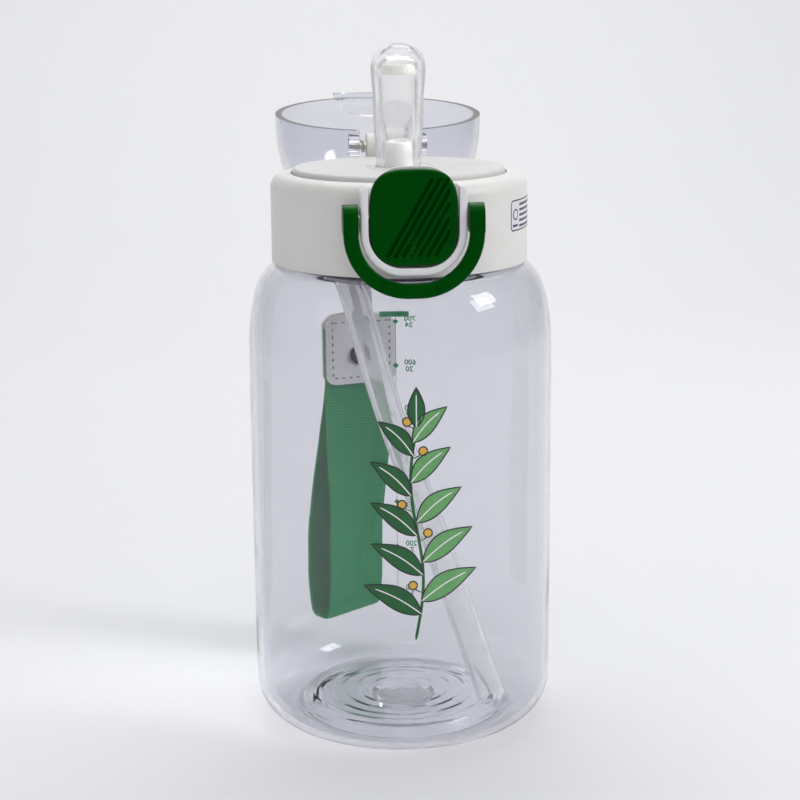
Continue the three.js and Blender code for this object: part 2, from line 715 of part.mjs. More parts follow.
const lid = new THREE.Group();
bottle.add(lid);
add("lid_gasket", lidGasket(), COLORS.silicone, lid);
add("lid_shell", lidShell(), COLORS.white, lid);
add("lid_liner", lidLiner(), COLORS.white, lid);
add("top_deck", topDeck(), COLORS.white, lid);
add("hinge_pin", hingePin(), COLORS.steel, lid);
add("hinge_spring_left", hingeSpring(), COLORS.steel, lid).position.x = -HINGE_SPRING_X;
add("hinge_spring_right", hingeSpring(), COLORS.steel, lid).position.x = HINGE_SPRING_X;
add("latch_pin", latchPin(), COLORS.steel, lid);
add("button_spring", buttonSpring(), COLORS.steel, lid);
add("spout_nipple", spoutNipple(), COLORS.white, lid);
add("spout", spout(), COLORS.silicone, lid);
add("straw_adapter", strawAdapter(), COLORS.white, lid);
add("straw", straw(), COLORS.straw, lid);
add("vent_valve", ventValve(), COLORS.silicone, lid);
add("strap_pin", strapPin(), COLORS.steel, lid);

const cover = new THREE.Group();
cover.position.set(0, HINGE.y, HINGE.z);
cover.rotation.x = -THREE.MathUtils.degToRad(DOME_OPEN_DEG);
lid.add(cover);
add("dome_cover", domeCover(), COLORS.dome, cover);

add("release_button", releaseButton(), COLORS.green, lid);
add("latch_lever", latchLever(), COLORS.boss, lid);
add("lock_ring", lockRing(), COLORS.green, lid);

const strap = new THREE.Group();
lid.add(strap);
add("strap_hanger", strapHanger(), COLORS.leather, strap);
add("strap_webbing", strapWebbing(), COLORS.webbing, strap);
add("snap_cap", snapButton(3.4, 47.6, 48.6), COLORS.snap, strap);
add("snap_stud", snapButton(3, 55.2, 56.4), COLORS.snap, strap);

export default bottle;
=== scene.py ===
"""The looks of a child's straw bottle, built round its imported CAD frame.

Lengths in this script are millimetres, turned into metres where a mesh is made. +Z is up, the push
button faces -Y, and the clear dome stands open behind the lid.
"""
import json
import math

import bmesh
import bpy
from mathutils import Matrix, Vector


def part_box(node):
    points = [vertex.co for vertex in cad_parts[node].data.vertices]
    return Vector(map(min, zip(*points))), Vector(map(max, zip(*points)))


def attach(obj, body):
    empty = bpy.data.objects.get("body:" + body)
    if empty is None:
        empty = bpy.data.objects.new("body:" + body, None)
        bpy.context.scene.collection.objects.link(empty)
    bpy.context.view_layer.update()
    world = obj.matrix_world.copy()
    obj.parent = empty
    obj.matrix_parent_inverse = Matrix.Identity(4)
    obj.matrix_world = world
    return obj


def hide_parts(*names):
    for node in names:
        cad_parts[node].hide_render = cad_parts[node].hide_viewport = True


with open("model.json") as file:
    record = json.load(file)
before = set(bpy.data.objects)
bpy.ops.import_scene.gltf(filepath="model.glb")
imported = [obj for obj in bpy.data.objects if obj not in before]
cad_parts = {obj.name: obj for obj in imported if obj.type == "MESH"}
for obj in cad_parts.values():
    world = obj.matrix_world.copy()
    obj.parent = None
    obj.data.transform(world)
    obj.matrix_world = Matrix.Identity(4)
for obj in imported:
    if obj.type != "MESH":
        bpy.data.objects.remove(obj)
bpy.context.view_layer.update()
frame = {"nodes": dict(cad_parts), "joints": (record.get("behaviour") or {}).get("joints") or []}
MM = 0.001
WELD_M = 1e-7  # points closer than this are one point


# ---------------------------------------------------------------- sizes read from the frame
def box_mm(node):
    low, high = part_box(node)
    return low / MM, high / MM


def joint(name):
    return next(j for j in frame["joints"] if j["name"] == name)


def joint_place(name):
    return Vector(joint(name)["pos_m"]) / MM


BODY_HIGH = box_mm("bottle_body")[1]
LID_HIGH = box_mm("lid_liner")[1]
DECK_HIGH = box_mm("top_deck")[1]
SPOUT_LOW, SPOUT_HIGH = box_mm("spout")
BUTTON_LOW, BUTTON_HIGH = box_mm("release_button")
LEVER_LOW, LEVER_HIGH = box_mm("latch_lever")
RING_LOW, RING_HIGH = box_mm("lock_ring")
HANGER_LOW = box_mm("strap_hanger")[0]
WEB_LOW = box_mm("strap_webbing")[0]
SNAP_LOW, SNAP_HIGH = box_mm("snap_cap")
STUD_LOW, STUD_HIGH = box_mm("snap_stud")
HINGE = joint_place("cover_hinge")
LATCH = joint_place("button_press")
STRAP_PIN = joint_place("strap_swing")
DOME_OPEN = math.radians(joint("cover_hinge")["range_deg"][1])

BODY_R = BODY_HIGH.x
BODY_WALL = 2
LID_R = LID_HIGH.x + 2.3
LID_BOTTOM = 148.3
LEDGE_Z = DECK_HIGH.z - 1.6  # ring round the raised disc, where the closed dome stands
LID_PLATE_Z = LEDGE_Z - 3
DECK_R = DECK_HIGH.x
DECK_TOP = DECK_HIGH.z
DOME_R = DECK_R + 2.2
DOME_WALL = 2.2
DOME_HEIGHT = 43.5
DOME_RIM_Z = LEDGE_Z + 0.3


# ---------------------------------------------------------------- mesh tools
def linked(name, data):
    """A new object in the scene."""
    made = bpy.data.objects.new(name, data)
    bpy.context.scene.collection.objects.link(made)
    return made


def dress(piece, name, material, sharp=32):
    """Names a piece, smooths it up to an angle in degrees and gives it one material."""
    mesh = piece.data
    piece.name = mesh.name = name
    if material:
        mesh.materials.clear()
        mesh.materials.append(material)
    for polygon in mesh.polygons:
        polygon.use_smooth = True
        polygon.material_index = 0
    mesh.set_sharp_from_angle(angle=math.radians(sharp))
    return piece


def finish_mesh(bm, name, material, sharp=32):
    bmesh.ops.remove_doubles(bm, verts=bm.verts, dist=WELD_M)
    bmesh.ops.recalc_face_normals(bm, faces=bm.faces)
    mesh = bpy.data.meshes.new(name)
    bm.to_mesh(mesh)
    bm.free()
    return dress(linked(name, mesh), name, material, sharp)


def mesh_from(name, points, faces, material=None, sharp=32):
    bm = bmesh.new()
    verts = [bm.verts.new(Vector(p) * MM) for p in points]
    for face in faces:
        bm.faces.new([verts[i] for i in face])
    return finish_mesh(bm, name, material, sharp)


def rounded(points, steps=5):
    """An outline whose corners given as (a, b, radius) become arcs; plain (a, b) corners stay sharp.
    Its first and last points are ends, so their radius is not used."""
    out = []
    for i, point in enumerate(points):
        here = Vector(point[:2])
        if len(point) < 3 or i in (0, len(points) - 1):
            out.append(here)
            continue
        before = (Vector(points[i - 1][:2]) - here).normalized()
        after = (Vector(points[i + 1][:2]) - here).normalized()
        half = before.angle(after) / 2
        reach = point[2] / math.tan(half)
        centre = here + (before + after).normalized() * point[2] / math.sin(half)
        start = here + before * reach - centre
        turn = start.angle_signed(here + after * reach - centre)
        for step in range(steps + 1):
            out.append(centre + Matrix.Rotation(-turn * step / steps, 2) @ start)
    return [(p.x, p.y) for p in out]


def rounded_loop(points, steps=5):
    """The same for a closed outline."""
    middle = (Vector(points[0][:2]) + Vector(points[-1][:2])) / 2
    return rounded([tuple(middle), *points, tuple(middle)], steps)[:-1]


def curve_arc(centre, radius, start, end, steps):
    """Points of an arc, angles in degrees."""
    angles = [math.radians(start + (end - start) * i / steps) for i in range(steps + 1)]
    return [(centre[0] + radius * math.cos(a), centre[1] + radius * math.sin(a)) for a in angles]


def oblong(left, right, low, high, radius=0, steps=5):
    """A rectangle's outline, its corners rounded when a radius is given."""
    corners = [(left, low), (right, low), (right, high), (left, high)]
    return rounded_loop([(*corner, radius) for corner in corners], steps) if radius else corners


def quarter_curve(centre, reach, rise, power, steps):
    """A quarter superellipse round a centre, from its full reach up to its full rise."""
    out = []
    for i in range(steps + 1):
        a = math.pi / 2 * i / steps
        r = reach * math.cos(a) ** (2 / power) if i < steps else 0
        out.append((centre[0] + r, centre[1] + rise * math.sin(a) ** (2 / power)))
    return out


def tube_faces(size, rings):
    """The walls between rings of size points each, and a cap at either end."""
    faces = []
    for start in range(0, (rings - 1) * size, size):
        for k in range(size):
            n = (k + 1) % size
            faces.append([start + k, start + n, start + size + n, start + size + k])
    return [*faces, list(range(size))[::-1], [(rings - 1) * size + k for k in range(size)]]


def swept(path, sections):
    """The points of each section carried to its frame (origin, across, up)."""
    return [
        origin + across * a + up * b
        for (origin, across, up), section in zip(path, sections)
        for a, b in section
    ]


def sweep(name, path, section, material=None, sharp=32):
    """Carries a closed section along a path."""
    points = swept(path, [section] * len(path))
    return mesh_from(name, points, tube_faces(len(section), len(path)), material, sharp)


def revolve(name, profile, material=None, steps=128, loop=False, sharp=32, seam=0.0):
    """Turns (radius, height) points about Z. seam lifts one line of vertices at the front."""
    rows = [*profile, profile[0]] if loop else profile
    points = []
    for radius, height in rows:
        for k in range(steps):
            angle = 2 * math.pi * k / steps - math.pi / 2
            reach = radius + (seam if k == 0 and radius > 1e-6 else 0)
            points.append((reach * math.cos(angle), reach * math.sin(angle), height))
    return mesh_from(name, points, tube_faces(steps, len(rows))[:-2], material, sharp)


def to_xz(y):
    return lambda a, b, depth: (a, y + depth, b)


def to_yz(x):
    return lambda a, b, depth: (x + depth, a, b)


def prism(name, outline, place, depth, material=None, bevel=0.0):
    """An outline pushed through a depth, its two rims rounded. place maps (a, b, depth) to space."""
    points = [place(a, b, reach) for reach in (0, depth) for a, b in outline]
    bm = bmesh.new()
    verts = [bm.verts.new(Vector(p) * MM) for p in points]
    made = [bm.faces.new([verts[i] for i in face]) for face in tube_faces(len(outline), 2)]
    if bevel:
        rims = list(set(made[-2].edges) | set(made[-1].edges))
        round_off = {"segments": 3, "profile": 0.5, "affect": "EDGES", "clamp_overlap": True}
        bmesh.ops.bevel(bm, geom=rims, offset=bevel * MM, **round_off)
    return finish_mesh(bm, name, material)


def rod_x(name, radius, start, end, y, z, material=None, steps=32, bevel=0.25):
    outline = [(y + a, z + b) for a, b in curve_arc((0, 0), radius, 0, 360, steps)[:-1]]
    return prism(name, outline, to_yz(start), end - start, material, bevel)


def smooth_line(points, steps):
    """Evenly spaced points on a smooth curve through the given ones (centripetal Catmull-Rom)."""
    places = [Vector(p) for p in points]
    places = [2 * places[0] - places[1], *places, 2 * places[-1] - places[-2]]
    fine = []
    for p0, p1, p2, p3 in zip(places, places[1:], places[2:], places[3:]):
        t1 = (p1 - p0).length ** 0.5
        t2 = t1 + (p2 - p1).length ** 0.5
        t3 = t2 + (p3 - p2).length ** 0.5
        for i in range(24):
            t = t1 + (t2 - t1) * i / 24
            a1 = p0.lerp(p1, t / t1)
            a2 = p1.lerp(p2, (t - t1) / (t2 - t1))
            a3 = p2.lerp(p3, (t - t2) / (t3 - t2))
            b1 = a1.lerp(a2, t / t2)
            b2 = a2.lerp(a3, (t - t1) / (t3 - t1))
            fine.append(b1.lerp(b2, (t - t1) / (t2 - t1)))
    fine.append(places[-2])
    lengths = [0.0]
    for a, b in zip(fine, fine[1:]):
        lengths.append(lengths[-1] + (b - a).length)
    out, k = [], 0
    for i in range(steps + 1):
        want = lengths[-1] * i / steps
        while k < len(lengths) - 2 and lengths[k + 1] < want:
            k += 1
        share = (want - lengths[k]) / max(lengths[k + 1] - lengths[k], 1e-9)
        out.append(fine[k].lerp(fine[k + 1], min(share, 1)))
    return out


def tangents(line):
    last = len(line) - 1
    return [(line[min(i + 1, last)] - line[max(i - 1, 0)]).normalized() for i in range(last + 1)]


def carried_frames(line, first_across):
    """Frames along a space curve that turn as little as they can."""
    out, across = [], Vector(first_across)
    for point, along in zip(line, tangents(line)):
        across = (across - along * across.dot(along)).normalized()
        out.append((point, across, along.cross(across)))
    return out


def circle(radius, steps):
    angles = [2 * math.pi * i / steps for i in range(steps)]
    return [(radius * math.cos(a), radius * math.sin(a)) for a in angles]


def evaluated_mesh(piece):
    bpy.context.view_layer.update()
    graph = bpy.context.evaluated_depsgraph_get()
    return bpy.data.meshes.new_from_object(piece.evaluated_get(graph))


def combine(target, operation, tools):
    """Joins each tool to the target or cuts it away, and removes the tool."""
    for tool in tools:
        modifier = target.modifiers.new("boolean", "BOOLEAN")
        modifier.object = tool
        modifier.operation = operation
        modifier.solver = "EXACT"
        mesh = evaluated_mesh(target)
        target.modifiers.clear()
        target.data = mesh
        bpy.data.objects.remove(tool)


def add_to(target, *tools):
    combine(target, "UNION", tools)


def cut_from(target, *tools):
    combine(target, "DIFFERENCE", tools)


def merged(name, pieces, material=None):
    """Several pieces as the parts of one mesh."""
    bm = bmesh.new()
    for piece in pieces:
        piece.data.transform(piece.matrix_world)
        bm.from_mesh(piece.data)
        bpy.data.objects.remove(piece)
    return finish_mesh(bm, name, material)


def stand(piece, body, slot, *nodes):
    """A finished piece: the body it rides on, and the CAD nodes it stands for, which it hides. slot, its
    finish, is not used.
    """
    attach(piece, body)
    if nodes:
        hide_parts(*nodes)
    return piece


# ---------------------------------------------------------------- materials
class Nodes:
    """The node tree of a material or the world."""

    def __init__(self, owner):
        owner.use_nodes = True
        self.nodes = owner.node_tree.nodes
        self.links = owner.node_tree.links

    def node(self, kind, **values):
        made = self.nodes.new(kind)
        for key, value in values.items():
            if key in made.inputs:
                made.inputs[key].default_value = value
            else:
                setattr(made, key, value)
        return made

    def link(self, output, target):
        self.links.new(output, target)

    def feed(self, socket, value):
        """Gives a socket a colour, a number or another node's output."""
        if isinstance(value, tuple):
            socket.default_value = (*value, 1)
        elif isinstance(value, (int, float)):
            socket.default_value = value
        else:
            self.link(value, socket)

    def ramp(self, value, low, high, start=0.0, end=1.0):
        """A value brought from the span start to end into the span low to high."""
        span = {"From Min": start, "From Max": end, "To Min": low, "To Max": high}
        made = self.node("ShaderNodeMapRange", **span)
        self.link(value, made.inputs["Value"])
        return made.outputs["Result"]


class Shader(Nodes):
    """A node material built round one Principled shader."""

    def __init__(self, name, color, roughness, **sockets):
        self.material = bpy.data.materials.new(name)
        super().__init__(self.material)
        self.shader = self.nodes["Principled BSDF"]
        self.feed(self.shader.inputs["Base Color"], color)
        self.shader.inputs["Roughness"].default_value = roughness
        for socket, value in sockets.items():
            self.shader.inputs[socket.replace("_", " ")].default_value = value

    def place(self, scale=(1, 1, 1), uv=False):
        """Texture coordinates in millimetres: the mesh's own place, or its UV map."""
        source = self.node("ShaderNodeTexCoord")
        mapping = self.node("ShaderNodeMapping")
        unit = 1 if uv else 1 / MM
        mapping.inputs["Scale"].default_value = [s * unit for s in scale]
        self.link(source.outputs["UV" if uv else "Object"], mapping.inputs["Vector"])
        return mapping.outputs["Vector"]

    def noise(self, vector, size, detail=3.0, roughness=0.55):
        """Noise with features about size millimetres wide."""
        made = self.node("ShaderNodeTexNoise", Detail=detail, Roughness=roughness, Scale=1 / size)
        self.link(vector, made.inputs["Vector"])
        return made.outputs["Fac"]

    def blend(self, factor, first, second):
        """A colour between two, or between an output and a colour."""
        made = self.node("ShaderNodeMix", data_type="RGBA")
        self.link(factor, made.inputs["Factor"])
        self.feed(made.inputs[6], first)
        self.feed(made.inputs[7], second)
        return made.outputs[2]

    def math(self, operation, first, second=0.0):
        made = self.node("ShaderNodeMath", operation=operation)
        self.feed(made.inputs[0], first)
        self.feed(made.inputs[1], second)
        return made.outputs[0]

    def bump(self, height, strength, distance):
        made = self.node("ShaderNodeBump", Strength=strength, Distance=distance * MM)
        self.link(height, made.inputs["Height"])
        self.link(made.outputs["Normal"], self.shader.inputs["Normal"])

    def tone(self, value, start, end, first, second):
        """A colour that goes from the first to the second as the value goes from start to end."""
        return self.blend(self.ramp(value, 0, 1, start, end), first, second)

    def color_from(self, output):
        self.link(output, self.shader.inputs["Base Color"])

    def roughness_from(self, output):
        self.link(output, self.shader.inputs["Roughness"])

    def lets_lamps_through(self, tint):
        """Shadows of a clear part are pale: lamps' rays pass it with a tint."""
        output = self.nodes["Material Output"]
        path = self.node("ShaderNodeLightPath")
        open_way = self.node("ShaderNodeBsdfTransparent", Color=(*tint, 1))
        choice = self.node("ShaderNodeMixShader")
        self.link(path.outputs["Is Shadow Ray"], choice.inputs[0])
        self.link(self.shader.outputs[0], choice.inputs[1])
        self.link(open_way.outputs[0], choice.inputs[2])
        self.link(choice.outputs[0], output.inputs["Surface"])


def clear_plastic(name, tint, shadow, wave=0.02, ior=1.5):
    """Clear moulded plastic: faintly wavy, with fine handling scratches."""
    look = Shader(name, tint, 0.03, Transmission_Weight=1.0, IOR=ior, Specular_IOR_Level=0.5)
    place = look.place()
    scratches = look.noise(look.place((1, 1, 0.06)), 0.5, detail=4)
    look.roughness_from(look.ramp(scratches, 0.0, 0.09, 0.5, 0.85))
    look.bump(look.noise(place, 26, detail=1.5), wave, 6)
    look.lets_lamps_through(shadow)
    return look.material


def moulded_plastic(name, light, dark, roughness, grain=0.09, **sockets):
    """Opaque moulded plastic: fine spark texture, slight tone drift and uneven gloss."""
    look = Shader(name, light, roughness, **sockets)
    place = look.place()
    drift = look.noise(place, 14, detail=2)
    look.color_from(look.tone(drift, 0.35, 0.7, light, dark))
    gloss = look.noise(place, 3.2, detail=4)
    look.roughness_from(look.ramp(gloss, roughness * 0.8, min(1, roughness * 1.25), 0.3, 0.7))
    look.bump(look.noise(place, 0.22, detail=2), grain, 0.12)
    return look.material


def soft_silicone(name, tint, roughness, transmission):
    look = Shader(name, tint, roughness, Transmission_Weight=transmission, IOR=1.36)
    place = look.place()
    cloud = look.noise(place, 5, detail=3)
    look.roughness_from(look.ramp(cloud, roughness * 0.7, roughness * 1.4, 0.3, 0.7))
    look.color_from(look.tone(cloud, 0.3, 0.8, tint, tuple(c * 0.93 for c in tint)))
    look.bump(look.noise(place, 1.1, detail=2), 0.08, 0.3)
    look.lets_lamps_through((0.93, 0.93, 0.935))
    return look.material


def steel(name, color, roughness):
    look = Shader(name, color, roughness, Metallic=1.0)
    streaks = look.noise(look.place(), 0.25, detail=3)
    look.roughness_from(look.ramp(streaks, roughness * 0.6, roughness * 1.6, 0.3, 0.7))
    look.bump(streaks, 0.12, 0.05)
    return look.material


def woven_webbing(name, light, dark):
    """Flat webbing seen close: weft ribs across, fine warp along, and paler patches here and there."""
    look = Shader(name, light, 0.85, Sheen_Weight=0.06, Sheen_Roughness=0.5, Specular_IOR_Level=0.2)
    place = look.place(uv=True)
    split = look.node("ShaderNodeSeparateXYZ")
    look.link(place, split.inputs[0])
    across, along = split.outputs[0], split.outputs[1]
    waver = look.math("MULTIPLY", look.noise(place, 5, detail=2), 0.35)
    weft = look.math("SINE", look.math("MULTIPLY", look.math("ADD", along, waver), 2 * math.pi / 0.95))
    warp = look.math("SINE", look.math("MULTIPLY", across, 2 * math.pi / 0.8))
    weave = look.math("ADD", look.math("MULTIPLY", weft, 0.4), look.math("MULTIPLY", warp, 0.2))
    fuzz = look.noise(place, 0.35, detail=4)
    tone = look.math("ADD", look.ramp(weave, 0.15, 0.85, -0.9, 0.9), look.math("MULTIPLY", fuzz, 0.3))
    wear = look.noise(place, 11, detail=3)
    base = look.tone(tone, 0.1, 1.1, dark, light)
    pale = tuple(min(1, c * 1.25 + 0.01) for c in light)
    look.color_from(look.blend(look.ramp(wear, 0, 0.35, 0.55, 0.8), base, pale))
    height = look.math("ADD", weave, look.math("MULTIPLY", fuzz, 0.5))
    look.bump(height, 0.55, 0.14)
    return look.material


def leatherette(name, light, dark, fine=0.5):
    look = Shader(name, light, 0.6, Coat_Weight=0.0)
    place = look.place()
    pores = look.node("ShaderNodeTexVoronoi", Scale=1 / fine)
    look.link(place, pores.inputs["Vector"])
    grain = look.ramp(pores.outputs["Distance"], 0, 1, 0.0, 0.75)
    drift = look.noise(place, 7, detail=3)
    shade = look.math("ADD", look.math("MULTIPLY", grain, 0.45), look.math("MULTIPLY", drift, 0.6))
    look.color_from(look.tone(shade, 0.15, 0.85, dark, light))
    look.roughness_from(look.ramp(grain, 0.72, 0.5))
    look.bump(grain, 0.35, 0.12)
    return look.material


def printed_ink(name, light, dark=None, size=1.6):
    """Screen-printed ink: even colour with a slight mottle, and a soft gloss."""
    dark = dark or tuple(c * 0.86 for c in light)
    look = Shader(name, light, 0.38, Coat_Weight=0.2)
    place = look.place(uv=True)
    mottle = look.noise(place, size, detail=4)
    look.color_from(look.tone(mottle, 0.3, 0.8, light, dark))
    look.bump(look.noise(place, 0.3, detail=2), 0.06, 0.05)
    return look.material


BOTTLE_CLEAR = clear_plastic("bottle_clear", (0.84, 0.842, 0.88), (0.97, 0.97, 0.975), ior=1.38)
DOME_CLEAR = clear_plastic("dome_clear", (0.82, 0.82, 0.875), (0.97, 0.97, 0.975), wave=0.012, ior=1.42)
WHITE_DECK = moulded_plastic("white_deck", (0.68, 0.675, 0.665), (0.65, 0.645, 0.63), 0.42)
WHITE = moulded_plastic("white_shell", (0.80, 0.785, 0.765), (0.76, 0.745, 0.72), 0.42)
WHITE_COOL = moulded_plastic("white_boss", (0.82, 0.82, 0.84), (0.78, 0.78, 0.80), 0.36)
# Painted light: the parts inside the lid and the spout's core get a lighter copy of the white plastic,
# standing in for the light that hardly reaches them.
WHITE_INNER_PAINTED_LIGHT = moulded_plastic("white_inner", (0.93, 0.93, 0.92), (0.9, 0.9, 0.89), 0.4)
GREEN = moulded_plastic(
    "green_abs",
    (0.0, 0.038, 0.0005),
    (0.0, 0.031, 0.0003),
    0.36,
    grain=0.05,
    Specular_IOR_Level=0.4,
    Specular_Tint=(0.02, 1.0, 0.12, 1),
)
SILICONE = soft_silicone("spout_silicone", (0.985, 0.985, 0.985), 0.1, 0.92)
CREAM = soft_silicone("spout_cream", (0.99, 0.97, 0.92), 0.3, 0.25)
STRAW_LOOK = soft_silicone("straw_frosted", (1.0, 1.0, 1.0), 0.04, 0.84)
STEEL = steel("steel_bright", (0.60, 0.575, 0.53), 0.22)
SNAP_DARK = moulded_plastic(
    "snap_dark", (0.012, 0.014, 0.013), (0.008, 0.009, 0.008), 0.3, Specular_IOR_Level=0.3
)
WEBBING = woven_webbing("webbing_green", (0.008, 0.36, 0.115), (0.004, 0.24, 0.07))
LEATHER = leatherette("leatherette_grey", (0.96, 0.94, 0.91), (0.87, 0.85, 0.82))
LEATHER_EDGE = leatherette("leatherette_edge", (0.86, 0.82, 0.70), (0.74, 0.70, 0.58), fine=0.3)
THREAD = leatherette("stitch_thread", (0.16, 0.15, 0.13), (0.08, 0.075, 0.065), fine=0.25)


# ---------------------------------------------------------------- camera, floor and light
FOCAL_MM = 85.94  # on a 36 mm sensor
CAMERA_DISTANCE = 591.1
CAMERA_HEIGHT = 236.2
CAMERA_SIDE = math.radians(5.5)
CAMERA_PITCH = math.radians(12.69)
CAMERA_ROLL = math.radians(0.48)


def make_camera():
    lens = bpy.data.cameras.new("camera")
    lens.lens = FOCAL_MM
    lens.shift_x = -0.0008
    camera = linked("camera", lens)
    ahead = Vector((math.sin(CAMERA_SIDE), math.cos(CAMERA_SIDE), 0))
    right = Vector((math.cos(CAMERA_SIDE), -math.sin(CAMERA_SIDE), 0))
    forward = ahead * math.cos(CAMERA_PITCH) - Vector((0, 0, math.sin(CAMERA_PITCH)))
    up = right.cross(forward)
    turned_right = right * math.cos(CAMERA_ROLL) - up * math.sin(CAMERA_ROLL)
    turned_up = up * math.cos(CAMERA_ROLL) + right * math.sin(CAMERA_ROLL)
    place = -ahead * CAMERA_DISTANCE + Vector((0, 0, CAMERA_HEIGHT))
    axes = Matrix((turned_right, turned_up, -forward)).transposed().to_4x4()
    camera.matrix_world = Matrix.Translation(place * MM) @ axes
    bpy.context.scene.camera = camera


def make_floor():
    """A pale table that runs back to a low bend and up into a paler wall."""
    profile = [(-1400, 0), (700, 0)]
    profile += curve_arc((700, 500), 500, -90, 0, 20)[1:]
    profile += [(1200, 2600)]
    half = 2400
    points = [(x, y, z) for y, z in profile for x in (-half, half)]
    faces = [[2 * i, 2 * i + 1, 2 * i + 3, 2 * i + 2] for i in range(len(profile) - 1)]
    look = Shader("pale_floor", (0.82, 0.82, 0.83), 0.7, Specular_IOR_Level=0.2)
    place = look.place()
    drift = look.noise(place, 240, detail=2)
    look.color_from(look.blend(drift, (0.83, 0.83, 0.838), (0.81, 0.81, 0.82)))
    look.bump(look.noise(place, 1.5, detail=3), 0.05, 0.2)
    floor = mesh_from("floor", points, faces, look.material)
    if floor.data.polygons[0].normal.z < 0:
        floor.data.flip_normals()


def soft_light(name, place, target, size, power, color=(1, 1, 1)):
    lamp = bpy.data.lights.new(name, "AREA")
    lamp.shape = "SQUARE"
    lamp.size = size * MM
    lamp.energy = power
    lamp.color = color
    holder = linked(name, lamp)
    holder.location = Vector(place) * MM
    aim = (Vector(target) - Vector(place)).normalized()
    holder.rotation_euler = aim.to_track_quat("-Z", "Y").to_euler()


def make_light():
    world = bpy.data.worlds.new("studio")
    bpy.context.scene.world = world
    tree = Nodes(world)
    place = tree.node("ShaderNodeTexCoord")
    split = tree.node("ShaderNodeSeparateXYZ")
    tree.link(place.outputs["Generated"], split.inputs[0])
    back = tree.nodes["Background"].inputs
    tree.feed(back["Color"], (0.95, 0.97, 1.0))
    tree.link(tree.ramp(split.outputs[2], 0.6, 0.35, -0.2, 0.8), back["Strength"])
    centre = (0, 0, 120)
    soft_light("overhead", (100, 480, 1150), (0, 250, 0), 1150, 6.4)
    soft_light("front_top", (-60, -560, 1050), centre, 380, 1.1)
    soft_light("right_key", (900, -350, 650), centre, 320, 3.8)
    soft_light("left_fill", (-800, -500, 500), centre, 500, 0.5, (1, 0.94, 0.88))
    soft_light("wall_wash", (0, 700, 1300), (0, 1100, 200), 900, 2)


make_camera()
make_floor()
make_light()
scene = bpy.context.scene
scene.view_settings.view_transform = "Standard"
scene.cycles.max_bounces = 24
scene.cycles.transmission_bounces = 24
scene.cycles.transparent_max_bounces = 24


# ---------------------------------------------------------------- bottle
NECK_R = 34.4
NECK_BORE_R = 32.5
NECK_TOP = BODY_HIGH.z
SHOULDER_Z = 112
SHOULDER_IN = 34  # radius at which the shoulder's curve would close
SHOULDER_TOP = 148.2
BEAD_R = 37.1
THREAD_LEAD = joint("lid_lift")["range_m"][1] / MM / (joint("lid_turn")["range_deg"][1] / 360)


def screw_ridge(root, crest, start_z, turns):
    """A trapezoid ridge wound round the neck, its ends tapering away."""
    steps = round(turns * 60)
    path, sections = [], []
    for i in range(steps + 1):
        turn = i / steps * turns
        fade = min(1, min(i, steps - i) / 6)
        angle = 2 * math.pi * turn
        top = root + (crest - root) * max(fade, 0.45)
        outward = Vector((math.cos(angle), math.sin(angle), 0))
        path.append((Vector((0, 0, start_z + THREAD_LEAD * turn)), outward, Vector((0, 0, 1))))
        sections.append([(root, -0.9), (top, -0.4), (top, 0.4), (root, 0.9)])
    return mesh_from("ridge", swept(path, sections), tube_faces(4, steps + 1))


def bottle():
    inner = BODY_R - BODY_WALL
    rise = SHOULDER_TOP - SHOULDER_Z
    shoulder = quarter_curve((SHOULDER_IN, SHOULDER_Z), BODY_R - SHOULDER_IN, rise, 3, 26)
    shoulder = [(r, z) for r, z in shoulder if r > BEAD_R + 0.1]
    inner_shoulder = quarter_curve((NECK_BORE_R, SHOULDER_Z), inner - NECK_BORE_R, rise - 2, 3, 22)
    corner = 13.8
    outer = [
        *rounded([(0, 0), (8.5, 0, 0.6), (10.3, 2.8, 0.8), (26.5, 2.8, 1.2), (29.5, 0, 0.8), (31, 0)]),
        *curve_arc((BODY_R - corner, corner), corner, -90, 0, 16),
        *shoulder,
        *rounded([(BEAD_R + 0.1, 148.05), (BEAD_R, 148.2), (BEAD_R, 149.6, 0.5), (NECK_R, 150, 0.3)], 3),
        *rounded(
            [(NECK_R, 152), (NECK_R, NECK_TOP, 0.6), (NECK_BORE_R, NECK_TOP, 0.6), (NECK_BORE_R, 160)], 4
        ),
        *inner_shoulder[::-1],
        *curve_arc((BODY_R - corner, corner), corner - BODY_WALL, 0, -78, 14),
    ]
    floor_rings = [(35.2, 2.4, 1), (34.2, 4.6, 1), (32.6, 5, 0.8), (31.6, 6.7, 1)]
    for ring in (28, 24, 19.5, 15, 10):
        floor_rings += [(ring + 1.2, 6.7, 1), (ring + 0.4, 6.52, 0.6)]
        floor_rings += [(ring - 0.4, 6.52, 0.6), (ring - 1.2, 6.7, 1)]
    floor_rings += [(4.2, 6.7, 0.5), (3.0, 5.6, 0.6), (1.4, 5.6, 0.4), (1.0, 6.1, 0.3), (0, 6.1)]
    profile = outer + rounded(floor_rings, 3)
    body = revolve("bottle_shell", profile, BOTTLE_CLEAR, steps=160, sharp=50)
    add_to(body, screw_ridge(NECK_R - 0.4, NECK_R + 1.5, 153, 2))
    dress(body, "bottle_shell", BOTTLE_CLEAR, sharp=50)
    stand(body, "bottle", "bottle_plastic", "bottle_body")


bottle()


# ---------------------------------------------------------------- lid
BOSS_WIDTH = 31
BOSS_BOTTOM = 149.8
BOSS_TOP = 176.5
BOSS_CORNER = 12.5
BOSS_FRONT = -45.2
BOSS_RIM = 2.3
POCKET_BACK = -39.1


